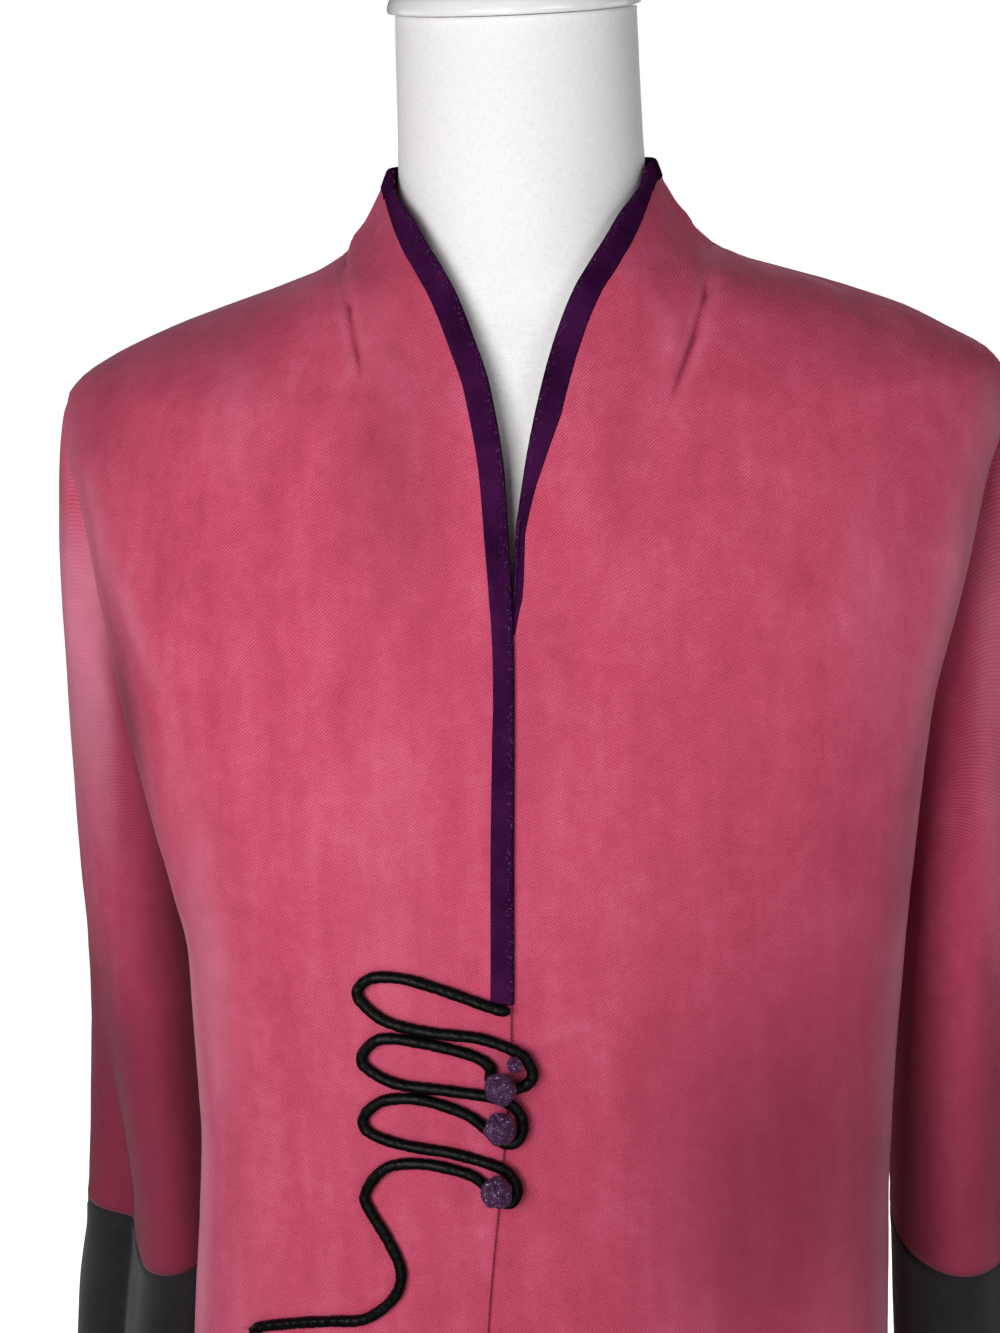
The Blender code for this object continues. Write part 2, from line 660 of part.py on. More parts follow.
tilt = Matrix.Rotation(math.radians(CAP_TILT), 4, "X")
seat = Matrix.Translation((0.0, 0.0, NECK_POINT + CAP_SEAT + 0.0004))
turned("form_neck_cap",
       [(0.0, 0.0175), (0.020, 0.0170), (0.038, 0.0150), (0.050, 0.0115), (0.0560, 0.0075),
        (CAP_RADIUS, 0.0030), (CAP_RADIUS, 0.0008), (CAP_RADIUS - 0.001, 0.0), (0.0, 0.0)],
       GLOSS, seat @ tilt @ Matrix.Translation((0.0, 0.003, 0.0)), steps=28)

pole_top = NECK_POINT - 0.684 - 0.0003
turned("form_pole", [(0.0, pole_top), (POLE_RADIUS, pole_top),
                     (POLE_RADIUS, BASE_THICKNESS + 0.0063), (0.0, BASE_THICKNESS + 0.0063)],
       STEEL, Matrix.Identity(4), steps=20)
turned("form_base",
       [(0.0, BASE_THICKNESS + 0.006), (0.020, BASE_THICKNESS + 0.006), (0.026, BASE_THICKNESS + 0.002),
        (0.034, BASE_THICKNESS), (BASE_RADIUS - 0.003, BASE_THICKNESS - 0.002),
        (BASE_RADIUS, BASE_THICKNESS - 0.005), (BASE_RADIUS, 0.0), (0.0, 0.0)],
       PAINT, Matrix.Identity(4), steps=40)
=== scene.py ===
"""Looks of the tang jacket on its dress form: fine cloth shells with their
creases, folded satin binding, satin cord frog, knotted ball buttons, the
linen-covered form, and their materials, floor, lights and camera.

Everything is in metres in the frame of the CAD model.  The tables and the
functions of the surfaces are those of the part's own source.
"""
import functools
import math

import bmesh
import bpy
import numpy as np
from mathutils import Matrix, Vector


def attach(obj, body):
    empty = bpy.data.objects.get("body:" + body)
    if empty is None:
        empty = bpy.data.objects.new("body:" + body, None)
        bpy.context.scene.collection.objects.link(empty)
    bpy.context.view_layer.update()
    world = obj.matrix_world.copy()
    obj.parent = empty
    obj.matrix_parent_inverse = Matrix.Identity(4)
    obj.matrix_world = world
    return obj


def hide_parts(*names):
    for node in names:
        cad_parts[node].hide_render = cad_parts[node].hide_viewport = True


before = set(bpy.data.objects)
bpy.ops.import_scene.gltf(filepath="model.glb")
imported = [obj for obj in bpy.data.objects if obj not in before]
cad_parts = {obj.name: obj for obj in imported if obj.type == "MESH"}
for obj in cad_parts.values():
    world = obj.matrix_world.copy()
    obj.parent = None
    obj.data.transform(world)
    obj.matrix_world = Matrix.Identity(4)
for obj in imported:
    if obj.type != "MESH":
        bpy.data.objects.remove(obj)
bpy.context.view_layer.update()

# ---------------------------------------------------------------- picture
CAMERA_AT = (0.0669, -1.0639, 1.4713)
CAMERA_LOOK = (-0.0187, 0.0, 1.2052)
CAMERA_ROLL = -2.3        # degrees about the line of sight
WORLD_LIGHT = 0.09
LIGHTS = (
    # name, place, aimed at, size, power, colour
    ("window", (-0.36, -1.08, 1.40), (-0.04, -0.10, 1.22), (0.6, 0.6), 11.4, (1.0, 0.99, 0.98)),
    ("fill", (1.30, -1.60, 1.70), (0.0, 0.0, 1.35), (1.0, 0.8), 8.0, (1.0, 1.0, 1.0)),
    ("top", (0.0, 0.60, 3.00), (0.0, 0.0, 1.2), (1.6, 1.6), 2.5, (1.0, 1.0, 1.0)),
    ("low", (0.0, -1.80, 0.30), (0.0, 0.0, 0.30), (1.2, 0.5), 5.0, (1.0, 1.0, 1.0)),
    ("rear", (0.30, 2.50, 1.40), (0.0, 0.0, 1.0), (1.6, 1.6), 32.0, (1.0, 1.0, 1.0)),
    ("right_side", (-2.30, 0.70, 1.20), (0.0, 0.1, 1.0), (1.2, 1.2), 7.0, (1.0, 1.0, 1.0)),
    ("left_side", (2.30, 0.70, 1.20), (0.0, 0.1, 1.0), (1.2, 1.2), 9.0, (1.0, 1.0, 1.0)),
)
TWILL_SPACING = 0.00112   # between the twill's ribs

# ---------------------------------------------------------------- sizes
NECK_POINT = 1.400        # height of the neck point above the floor
WALL = 0.0015             # twill with its facing, one wall
SEAM = 0.0003             # half of the gap left where two pieces meet
SHOULDER_TIP = -0.058     # top of the armhole
UNDERARM = -0.285         # bottom of the armhole
ARM_STEPS = 12            # rows down the armhole, twice as many round a sleeve
SIDE_SEAM = 100.0         # degrees round from centre front
SLEEVE_TUBE = -0.335      # height at which the sleeve's rings turn level
BAND_TOP = -0.497         # seam between the sleeve and its cuff band
CUFF_END = -0.655
HEM = -0.700
BINDING_WIDTH = 0.010
BINDING_WALL = 0.0010
BINDING_GAP = 0.0003
TUCK = 0.0024             # how far the left front goes in under the right
CORD_RADIUS = 0.00235
CORD_GAP = 0.0004
BALL_RADIUS = 0.0073
BALL_HEIGHT = 0.0127      # middle of a knot button above the cloth
STEM_RADIUS = 0.0015
KNOB_RADIUS = 0.0036
CAP_RADIUS = 0.0578
CAP_TILT = 4.8            # degrees, the neck block leans forward
CAP_SEAT = 0.108
POLE_RADIUS = 0.0125
BASE_RADIUS = 0.180
BASE_THICKNESS = 0.014

# Level sections of the jacket body.  right / left: half width on the
# wearer's right and left; seam_y: depth of the widest point; front / back:
# reach of the section to the front and to the back; squareness of each half.
BODY_COLUMNS = ("height", "right", "left", "seam_y", "front", "back", "front_n", "back_n")
BODY_ROWS = (
    (0.046, 0.0588, 0.0588, 0.012, 0.0500, 0.0660, 2.00, 2.00),
    (0.031, 0.0655, 0.0638, 0.012, 0.0600, 0.0680, 2.00, 2.00),
    (0.015, 0.0735, 0.0710, 0.012, 0.0640, 0.0705, 2.00, 2.00),
    (0.000, 0.0860, 0.0860, 0.012, 0.0680, 0.0740, 2.00, 2.00),
    (-0.010, 0.1120, 0.1165, 0.012, 0.0705, 0.0775, 2.00, 2.00),
    (-0.020, 0.1430, 0.1485, 0.012, 0.0740, 0.0815, 2.00, 2.00),
    (-0.030, 0.1720, 0.1755, 0.011, 0.0785, 0.0860, 2.00, 2.00),
    (-0.040, 0.1940, 0.1940, 0.009, 0.0830, 0.0900, 2.05, 2.00),
    (-0.050, 0.2110, 0.2110, 0.006, 0.0875, 0.0940, 2.10, 2.00),
    (-0.058, 0.2165, 0.2165, 0.002, 0.0915, 0.0970, 2.15, 2.00),
    (-0.080, 0.2160, 0.2155, -0.010, 0.0985, 0.1040, 2.25, 2.05),
    (-0.100, 0.2095, 0.2085, -0.018, 0.1045, 0.1085, 2.35, 2.10),
    (-0.150, 0.1990, 0.1955, -0.034, 0.1165, 0.1150, 2.50, 2.10),
    (-0.200, 0.1905, 0.1820, -0.039, 0.1240, 0.1170, 2.60, 2.05),
    (-0.250, 0.1805, 0.1755, -0.041, 0.1290, 0.1165, 2.65, 2.00),
    (-0.320, 0.1670, 0.1680, -0.045, 0.1300, 0.1120, 2.70, 1.95),
    (-0.390, 0.1670, 0.1635, -0.045, 0.1300, 0.1110, 2.70, 1.95),
    (-0.450, 0.1715, 0.1610, -0.047, 0.1310, 0.1180, 2.65, 2.00),
    (-0.520, 0.1785, 0.1610, -0.050, 0.1335, 0.1250, 2.60, 2.02),
    (-0.610, 0.1820, 0.1650, -0.048, 0.1375, 0.1310, 2.50, 2.05),
    (-0.700, 0.1870, 0.1720, -0.042, 0.1410, 0.1360, 2.40, 2.05),
)

# Free edges of the two fronts: sideways place of each edge at a height.
EDGE_COLUMNS = ("height", "right_front", "left_front")
EDGE_ROWS = (
    (0.042, -0.0560, 0.0560),
    (0.036, -0.0548, 0.0548),
    (0.031, -0.0527, 0.0527),
    (0.020, -0.0468, 0.0468),
    (0.010, -0.0405, 0.0405),
    (0.000, -0.0335, 0.0335),
    (-0.010, -0.0275, 0.0268),
    (-0.030, -0.0190, 0.0180),
    (-0.050, -0.0122, 0.0118),
    (-0.087, -0.0065, 0.0035),
    (-0.113, -0.0053, -0.0003),
    (-0.135, -0.0045, -0.0020),
    (-0.160, -0.0042, -0.0070),
    (-0.200, -0.0052, -0.0160),
    (-0.250, -0.0070, -0.0240),
    (-0.313, -0.0092, -0.0300),
    (-0.345, -0.0108, -0.0330),
    (-0.383, -0.0150, -0.0365),
    (-0.475, -0.0260, -0.0470),
    (-0.550, -0.0310, -0.0520),
    (-0.700, -0.0360, -0.0570),
)

# Hanging sleeves below the armhole.  x / y: middle of the level section;
# thick / deep: its half sizes across and front to back; turn: degrees the
# front end swings in towards the body; fold: depth of the long fold on the
# outer front side, as a share of the section's radius.
SLEEVE_COLUMNS = ("height", "x", "y", "thick", "deep", "turn", "fold")
SLEEVE_ROWS = {
    "right": (
        (-0.335, 0.2074, 0.045, 0.0335, 0.080, 6.0, 0.04),
        (-0.400, 0.2115, 0.041, 0.0330, 0.081, 13.0, 0.18),
        (-0.450, 0.2155, 0.038, 0.0325, 0.081, 18.0, 0.38),
        (-0.497, 0.2200, 0.037, 0.0320, 0.080, 21.0, 0.50),
        (-0.560, 0.2305, 0.036, 0.0320, 0.079, 21.0, 0.55),
        (-0.655, 0.2400, 0.036, 0.0330, 0.076, 20.0, 0.52),
    ),
    "left": (
        (-0.335, 0.2036, 0.043, 0.0340, 0.080, 4.0, 0.00),
        (-0.400, 0.2045, 0.040, 0.0340, 0.079, 5.0, 0.04),
        (-0.450, 0.2045, 0.038, 0.0345, 0.078, 5.0, 0.07),
        (-0.497, 0.2060, 0.036, 0.0350, 0.076, 6.0, 0.10),
        (-0.560, 0.2085, 0.034, 0.0360, 0.074, 6.0, 0.12),
        (-0.655, 0.2120, 0.032, 0.0370, 0.072, 6.0, 0.12),
    ),
}
FOLD_PLACE = 38.0         # degrees from the outer side towards the front
FOLD_SPREAD = 19.0
SEAM_LIFT = {"right": 0.013, "left": 0.0}   # the band's seam rides up at the fold

# Level sections of the dress form.
FORM_COLUMNS = ("height", "half", "front", "back")
FORM_ROWS = (
    (0.108, 0.0543, 0.0510, 0.0570),
    (0.075, 0.0550, 0.0515, 0.0580),
    (0.045, 0.0560, 0.0525, 0.0595),
    (0.022, 0.0576, 0.0540, 0.0615),
    (0.008, 0.0610, 0.0558, 0.0640),
    (0.000, 0.0690, 0.0575, 0.0660),
    (-0.0065, 0.0860, 0.0590, 0.0685),
    (-0.015, 0.1120, 0.0610, 0.0715),
    (-0.025, 0.1430, 0.0640, 0.0755),
    (-0.035, 0.1700, 0.0680, 0.0795),
    (-0.046, 0.1885, 0.0720, 0.0830),
    (-0.060, 0.1980, 0.0770, 0.0870),
    (-0.076, 0.1985, 0.0820, 0.0905),
    (-0.100, 0.1915, 0.0885, 0.0950),
    (-0.130, 0.1800, 0.0965, 0.0990),
    (-0.175, 0.1640, 0.1060, 0.1020),
    (-0.220, 0.1500, 0.1125, 0.1020),
    (-0.260, 0.1420, 0.1145, 0.0995),
    (-0.310, 0.1310, 0.1070, 0.0930),
    (-0.370, 0.1220, 0.0930, 0.0860),
    (-0.430, 0.1270, 0.0930, 0.0900),
    (-0.500, 0.1400, 0.0990, 0.0980),
    (-0.570, 0.1500, 0.1040, 0.1040),
    (-0.635, 0.1520, 0.1050, 0.1060),
    (-0.668, 0.1480, 0.1010, 0.1030),
    (-0.684, 0.1340, 0.0900, 0.0920),
)

# Route of the frog's cord over the fronts: sideways place and height, both
# in millimetres, at its bends and along its runs.
CORD_COLUMNS = ("x", "height")
CORD_ROWS = (
    (-9.7, -317.1), (-14.9, -316.2), (-22.7, -313.3), (-40.4, -306.4),
    (-56.1, -301.5), (-69.1, -301.4), (-75.7, -306.8), (-74.6, -312.8),
    (-64.3, -321.4), (-46.2, -326.6), (-23.4, -329.7), (-6.9, -336.4),
    (-1.9, -342.4), (-0.9, -347.6), (-4.0, -351.7), (-9.6, -353.5),
    (-15.6, -353.7), (-19.6, -349.4), (-19.4, -343.8), (-24.0, -339.2),
    (-34.2, -335.4), (-50.9, -331.3), (-62.5, -329.6), (-69.8, -331.2),
    (-75.6, -338.3), (-73.6, -344.4), (-60.9, -351.2), (-38.2, -354.5),
    (-20.1, -357.3), (-10.9, -361.1), (-6.7, -367.0), (-6.0, -373.3),
    (-9.4, -378.9), (-15.2, -379.3), (-20.7, -374.2), (-30.7, -365.9),
    (-47.8, -359.5), (-59.0, -358.3), (-69.0, -360.4), (-76.6, -368.0),
    (-74.6, -375.2), (-60.1, -380.8), (-37.3, -384.8), (-17.4, -391.2),
    (-11.4, -397.0), (-9.6, -403.2), (-12.7, -408.4), (-18.2, -407.0),
    (-24.0, -400.0), (-31.4, -394.6), (-49.2, -390.2), (-64.0, -390.9),
    (-72.4, -396.4), (-78.3, -406.6), (-76.4, -414.2), (-68.9, -428.6),
    (-63.8, -443.4), (-67.6, -456.4), (-81.0, -467.8), (-97.3, -471.2),
    (-113.4, -474.4), (-129.0, -478.4), (-136.0, -482.0),
)
CORD_SPACING = 0.0062

# Knot buttons on the ends of the three loops.
BUTTON_COLUMNS = ("x", "height")
BUTTON_ROWS = ((-14.2, -349.0), (-15.4, -368.2), (-17.9, -398.5))
KNOB_PLACE = (-8.0, -339.3, 9.0)     # x, height and lift, millimetres


# ---------------------------------------------------------------- tables
def pchip(xs, ys, x):
    """Monotone cubic through a table's column, so outlines never ripple."""
    n = len(xs)
    if x <= xs[0]:
        return ys[0]
    if x >= xs[-1]:
        return ys[-1]
    k = 0
    while x > xs[k + 1]:
        k += 1
    h = [xs[i + 1] - xs[i] for i in range(n - 1)]
    d = [(ys[i + 1] - ys[i]) / h[i] for i in range(n - 1)]

    def slope(i):
        if i == 0:
            return d[0]
        if i == n - 1:
            return d[-1]
        if d[i - 1] * d[i] <= 0.0:
            return 0.0
        w1 = 2 * h[i] + h[i - 1]
        w2 = h[i] + 2 * h[i - 1]
        return (w1 + w2) / (w1 / d[i - 1] + w2 / d[i])

    t = (x - xs[k]) / h[k]
    a, b = slope(k), slope(k + 1)
    return ((1 + 2 * t) * (1 - t) ** 2 * ys[k] + t * (1 - t) ** 2 * h[k] * a
            + t * t * (3 - 2 * t) * ys[k + 1] + t * t * (t - 1) * h[k] * b)


def table(columns, rows):
    """Columns of a table as functions of its first column."""
    ordered = sorted(rows)
    xs = [r[0] for r in ordered]
    return {name: functools.lru_cache(None)(lambda x, ys=[r[i] for r in ordered]: pchip(xs, ys, x))
            for i, name in enumerate(columns) if i}


BODY = table(BODY_COLUMNS, BODY_ROWS)
EDGE = table(EDGE_COLUMNS, EDGE_ROWS)
FORM = table(FORM_COLUMNS, FORM_ROWS)
SLEEVE = {side: table(SLEEVE_COLUMNS, rows) for side, rows in SLEEVE_ROWS.items()}


def smooth(t):
    t = max(0.0, min(1.0, t))
    return t * t * (3 - 2 * t)


def signed_power(v, p):
    return math.copysign(abs(v) ** p, v)


# ---------------------------------------------------------------- body surface
def body_point(angle, height):
    """Point of the jacket's outer surface; angle in degrees from centre
    front, positive towards the wearer's left."""
    a = math.radians(angle)
    half = BODY["left"](height) if angle >= 0 else BODY["right"](height)
    seam = BODY["seam_y"](height)
    s, c = math.sin(a), math.cos(a)
    if c >= 0:
        p = 2.0 / BODY["front_n"](height)
        return Vector((half * signed_power(s, p),
                       seam - (BODY["front"](height) + seam) * signed_power(c, p),
                       NECK_POINT + height))
    p = 2.0 / BODY["back_n"](height)
    return Vector((half * signed_power(s, p),
                   seam - (BODY["back"](height) - seam) * signed_power(c, p),
                   NECK_POINT + height))


def body_normal(angle, height):
    across = body_point(angle + 0.4, height) - body_point(angle - 0.4, height)
    up = body_point(angle, height + 0.0006) - body_point(angle, height - 0.0006)
    return across.cross(up).normalized()


def body_at(angle, height, lift=0.0):
    return body_point(angle, height) + body_normal(angle, height) * lift


def angle_at(x, height):
    """Angle at which the front of the level section crosses a given x."""
    half = BODY["left"](height) if x >= 0 else BODY["right"](height)
    ratio = min(0.999, abs(x) / half) ** (BODY["front_n"](height) / 2.0)
    return math.copysign(math.degrees(math.asin(ratio)), x)


def tuck(x, height):
    """How far the left front lies inside the right one near the closing."""
    return TUCK * smooth((-0.088 - height) / 0.035) * smooth((0.042 - x) / 0.032)


def armhole_angles(height):
    """Angles of the front and the back panel's edge at a height."""
    if height >= SHOULDER_TIP:
        return 90.0, 90.0
    if height <= UNDERARM:
        return SIDE_SEAM, SIDE_SEAM
    mid = (SHOULDER_TIP + UNDERARM) / 2
    u = math.acos(max(-1.0, min(1.0, (height - mid) / (SHOULDER_TIP - mid)))) / math.pi
    base = 90.0 + (SIDE_SEAM - 90.0) * smooth(u * 2.0)
    return base + 2.0 * math.sin(math.pi * u), base + 29.0 * math.sin(math.pi * u) ** 0.9


COLLAR_LEVELS = (0.040, 0.036, 0.031, 0.022, 0.011, 0.000, -0.010, -0.020, -0.030, -0.040, -0.050)
ARM_MID = (SHOULDER_TIP + UNDERARM) / 2
ARM_LEVELS = tuple(ARM_MID + (SHOULDER_TIP - ARM_MID) * math.cos(math.pi * i / ARM_STEPS)
                   for i in range(ARM_STEPS + 1))
LOW_LEVELS = (-0.3105, -0.345, -0.390, -0.440, -0.500, -0.560, -0.630, HEM)
LEVELS = COLLAR_LEVELS + ARM_LEVELS + LOW_LEVELS


def spread(first, last, height, count, sign=1.0, power=1.0):
    """Angles of a row's columns: half way between even angles, which follow
    the rounded corners, and even distances along the cloth."""
    parts = 48
    angles = [first + (last - first) * i / parts for i in range(parts + 1)]
    points = [body_point(sign * a, height) for a in angles]
    run = [0.0]
    for i in range(parts):
        run.append(run[-1] + (points[i + 1] - points[i]).length)
    out = []
    for i in range(1, count + 1):
        u = 1.0 - (1.0 - i / count) ** power
        goal = u * run[-1]
        k = 0
        while k < parts - 1 and run[k + 1] < goal:
            k += 1
        by_length = angles[k] + (angles[k + 1] - angles[k]) * (goal - run[k]) / (run[k + 1] - run[k])
        by_angle = first + (last - first) * u
        out.append(0.5 * by_length + 0.5 * by_angle)
    return out


def surface_step(angle, height):
    """Length of surface for one degree round the section."""
    return (body_point(angle + 0.5, height) - body_point(angle - 0.5, height)).length


def front_row(side, height, width):
    """Angles of one front panel's columns: edge, middle and inner border of
    its binding, then the panel as far as its seam."""
    sign = 1.0 if side == "left" else -1.0
    name = side + "_front"
    x = EDGE[name](height)
    start = angle_at(x, height)
    reach = 0.0015
    top = min(height + reach, COLLAR_LEVELS[0])
    low = top - 2 * reach
    along = (body_point(angle_at(EDGE[name](top), top), top)
             - body_point(angle_at(EDGE[name](low), low), low)).normalized()
    across = (body_point(start + 0.5, height) - body_point(start - 0.5, height)).normalized()
    slant = max(0.35, math.sqrt(max(0.0, 1.0 - along.dot(across) ** 2)))
    end = armhole_angles(height)[0]
    step = surface_step(start, height)
    end -= SEAM / surface_step(sign * (end - 1.0), height)
    border = min(abs(width / slant / step), 0.62 * (end - start * sign))
    columns = [start, start + sign * border / 2, start + sign * border]
    power = 1.0 + 0.35 * smooth((height + 0.12) / 0.05)
    columns += [sign * a for a in spread(columns[-1] * sign, end, height, 10, sign, power)]
    return columns


def binding_width(side, height):
    if side == "right":
        return BINDING_WIDTH
    return BINDING_WIDTH * max(0.22, min(1.0, (height + 0.124) / 0.062))


def front_lift(side, angle, height):
    return -tuck(body_point(angle, height).x, height) if side == "left" else 0.0


def sleeve_section(side, height, k):
    """Point k of a level ring of the sleeve: 0 on the outer side, then
    front, inner side and back."""
    s = 1.0 if side == "left" else -1.0
    t = SLEEVE[side]
    theta = 2 * math.pi * k / (2 * ARM_STEPS)
    turn = math.radians(t["turn"](height))
    away = math.degrees(theta) - FOLD_PLACE
    scale = 1.0 - t["fold"](height) * math.exp(-(away / FOLD_SPREAD) ** 2)
    u = t["thick"](height) * math.cos(theta) * scale
    v = t["deep"](height) * math.sin(theta) * scale
    lift = SEAM_LIFT[side] * math.exp(-((math.degrees(theta) - 12.0) / 30.0) ** 2)
    lift *= smooth((-0.43 - height) / 0.06) * smooth((height + 0.63) / 0.09)
    x = t["x"](height) + u * math.cos(turn) - v * math.sin(turn)
    y = t["y"](height) - u * math.sin(turn) - v * math.cos(turn)
    return Vector((s * x, y, NECK_POINT + height + lift))


def catmull(points, spacing):
    """Evenly spaced points on a smooth curve through the given ones."""
    fine = []
    pts = [points[0]] + list(points) + [points[-1]]
    for i in range(1, len(pts) - 2):
        p0, p1, p2, p3 = pts[i - 1], pts[i], pts[i + 1], pts[i + 2]
        for j in range(12):
            t = j / 12
            fine.append(0.5 * (2 * p1 + (p2 - p0) * t + (2 * p0 - 5 * p1 + 4 * p2 - p3) * t * t
                               + (3 * p1 - p0 - 3 * p2 + p3) * t ** 3))
    fine.append(pts[-2])
    length = sum((fine[i + 1] - fine[i]).length for i in range(len(fine) - 1))
    count = max(2, round(length / spacing))
    out, run, goal = [fine[0]], 0.0, length / count
    for i in range(len(fine) - 1):
        seg = (fine[i + 1] - fine[i]).length
        while seg > 0 and run + seg >= goal * len(out) and len(out) < count:
            out.append(fine[i].lerp(fine[i + 1], (goal * len(out) - run) / seg))
        run += seg
    out.append(fine[-1])
    return out


# ---------------------------------------------------------------- fine surfaces
GRID_H = np.linspace(-0.7200, 0.0500, 1541)
PAR = {name: np.array([column(float(h)) for h in GRID_H]) for name, column in BODY.items()}
EDGES = {name: np.array([column(float(h)) for h in GRID_H]) for name, column in EDGE.items()}
TOP = 0.040


def par(name, h):
    return np.interp(h, GRID_H, PAR[name])


def skin(angle, h):
    """Points of the jacket's smooth outer surface, for arrays of angles and heights."""
    angle, h = np.broadcast_arrays(np.asarray(angle, float), np.asarray(h, float))
    a = np.radians(angle)
    half = np.where(angle >= 0, par("left", h), par("right", h))
    half = np.where(np.abs(angle) > 180.0, np.where(angle >= 0, par("right", h), par("left", h)), half)
    seam = par("seam_y", h)
    s, c = np.sin(a), np.cos(a)
    p = 2.0 / np.where(c >= 0, par("front_n", h), par("back_n", h))
    reach = np.where(c >= 0, par("front", h) + seam, par("back", h) - seam)
    x = half * np.sign(s) * np.abs(s) ** p
    y = seam - reach * np.sign(c) * np.abs(c) ** p
    return np.stack([x, y, NECK_POINT + h], -1)


def skin_normal(angle, h):
    across = skin(angle + 0.5, h) - skin(angle - 0.5, h)
    up = skin(angle, h + 0.0008) - skin(angle, h - 0.0008)
    n = np.cross(across, up)
    n /= np.linalg.norm(n, axis=-1, keepdims=True) + 1e-12
    out = skin(angle, h)
    flip = np.sign(n[..., 0] * out[..., 0] + n[..., 1] * (out[..., 1] - 0.0))
    return n * np.where(flip == 0, 1, flip)[..., None]


def x_angle(x, h):
    """Angle at which the front of the section crosses x, for arrays."""
    x, h = np.broadcast_arrays(np.asarray(x, float), np.asarray(h, float))
    half = np.where(x >= 0, par("left", h), par("right", h))
    ratio = np.minimum(0.999, np.abs(x) / half) ** (par("front_n", h) / 2.0)
    return np.copysign(np.degrees(np.arcsin(ratio)), x)


def soft(t):
    t = np.clip(t, 0.0, 1.0)
    return t * t * (3 - 2 * t)


def way_distance(points, way):
    """Distance from each point to a way of straight pieces, and how far along it, 0 to 1."""
    way = np.asarray(way, float)
    best = np.full(points.shape[:-1], 9.0)
    along = np.zeros(points.shape[:-1])
    lengths = np.linalg.norm(np.diff(way, axis=0), axis=1)
    total, run = lengths.sum(), 0.0
    for i in range(len(way) - 1):
        d = way[i + 1] - way[i]
        t = np.clip(((points - way[i]) @ d) / max(1e-12, d @ d), 0, 1)
        gap = np.linalg.norm(points - (way[i] + t[..., None] * d), axis=-1)
        near = gap < best
        best = np.where(near, gap, best)
        along = np.where(near, (run + t * lengths[i]) / total, along)
        run += lengths[i]
    return best, along


def ripple(points, stretch, seed):
    """Slow unevenness from sums of sines in turned directions, between about -1 and 1."""
    rng = np.random.default_rng(seed)
    total = np.zeros(points.shape[:-1])
    weight = 0.0
    for octave in range(3):
        for _ in range(5):
            d = rng.normal(size=3)
            d /= np.linalg.norm(d)
            d *= np.array(stretch) * (1.9 ** octave)
            w = 0.6 ** octave
            total += w * np.sin(points @ d * 2 * math.pi + rng.uniform(0, 2 * math.pi))
            weight += w * 0.5
    return total / weight


# Creases of the body, each through places on the front or back: x and height
# in millimetres.  depth is above the cloth where positive; the last column is
# how pale its ridge is, from rubbed wear with a painted sheen highlight.
FRONT_CREASES = (
    # places, width, depth, paleness from wear and painted sheen
    (((139, -17), (149, -24), (160, -33)), 7.0, -1.6, 0.00),
    (((128, -14), (140, -20)), 9.0, 1.2, 0.25),
    (((112, -57), (126, -59.5), (139, -60)), 4.0, -0.9, 0.00),
    (((-131, -22), (-126, -50), (-119, -95)), 11.0, 1.3, 0.10),
    (((-103, -40), (-101, -60), (-98, -84)), 7.0, -0.9, 0.00),
    (((-190, -112), (-176, -150), (-164, -180)), 6.0, 1.0, 0.30),
    (((2, -341), (16, -336), (30, -332)), 3.0, -0.7, 0.00),
    (((0, -334), (14, -329), (26, -326)), 4.0, 0.5, 0.10),
    (((198, -88), (188, -140), (176, -190), (167, -240)), 13.0, 1.9, 0.50),
    (((176, -96), (168, -150), (160, -200)), 16.0, -1.2, 0.00),
    (((-199, -84), (-191, -120), (-183, -160)), 8.0, 1.2, 0.35),
    (((-172, -262), (-150, -236), (-124, -214)), 9.0, -1.3, 0.00),
    (((-170, -290), (-142, -270), (-118, -262)), 10.0, 1.0, 0.08),
    (((170, -268), (150, -246), (128, -226)), 8.0, -1.1, 0.00),
    (((164, -300), (146, -284), (120, -276)), 11.0, 1.0, 0.08),
    (((-150, -330), (-140, -420), (-146, -560), (-150, -700)), 17.0, 2.2, 0.15),
    (((-118, -380), (-108, -480), (-112, -600), (-110, -700)), 19.0, -2.0, 0.00),
    (((148, -340), (138, -430), (142, -570), (148, -700)), 18.0, 2.3, 0.15),
    (((104, -420), (98, -520), (104, -640), (106, -700)), 20.0, -1.9, 0.00),
    (((62, -300), (66, -420), (72, -560), (74, -700)), 22.0, 1.4, 0.06),
    (((-60, -180), (-66, -300), (-84, -420)), 24.0, 1.2, 0.05),
    (((40, -130), (60, -200), (92, -250)), 16.0, 0.8, 0.00),
    (((-30, -500), (-34, -600), (-40, -700)), 18.0, -1.3, 0.00),
    (((30, -480), (22, -590), (18, -700)), 20.0, 1.5, 0.00),
    (((66, 30), (72, 16), (80, 5), (92, -3)), 8.5, 2.6, 0.00),
    (((-63, 31), (-71, 16), (-80, 5), (-90, -3)), 8.0, 1.7, 0.00),
    (((60, -12), (66, -30), (64, -50)), 7.0, 0.9, 0.15),
    (((-60, -10), (-58, -34), (-50, -60)), 8.0, 0.9, 0.12),
    (((64, -65), (62, -72), (58, -82)), 3.5, -0.8, 0.00),
    (((-65, -53), (-62, -62), (-57, -70)), 3.5, -0.7, 0.00),
)
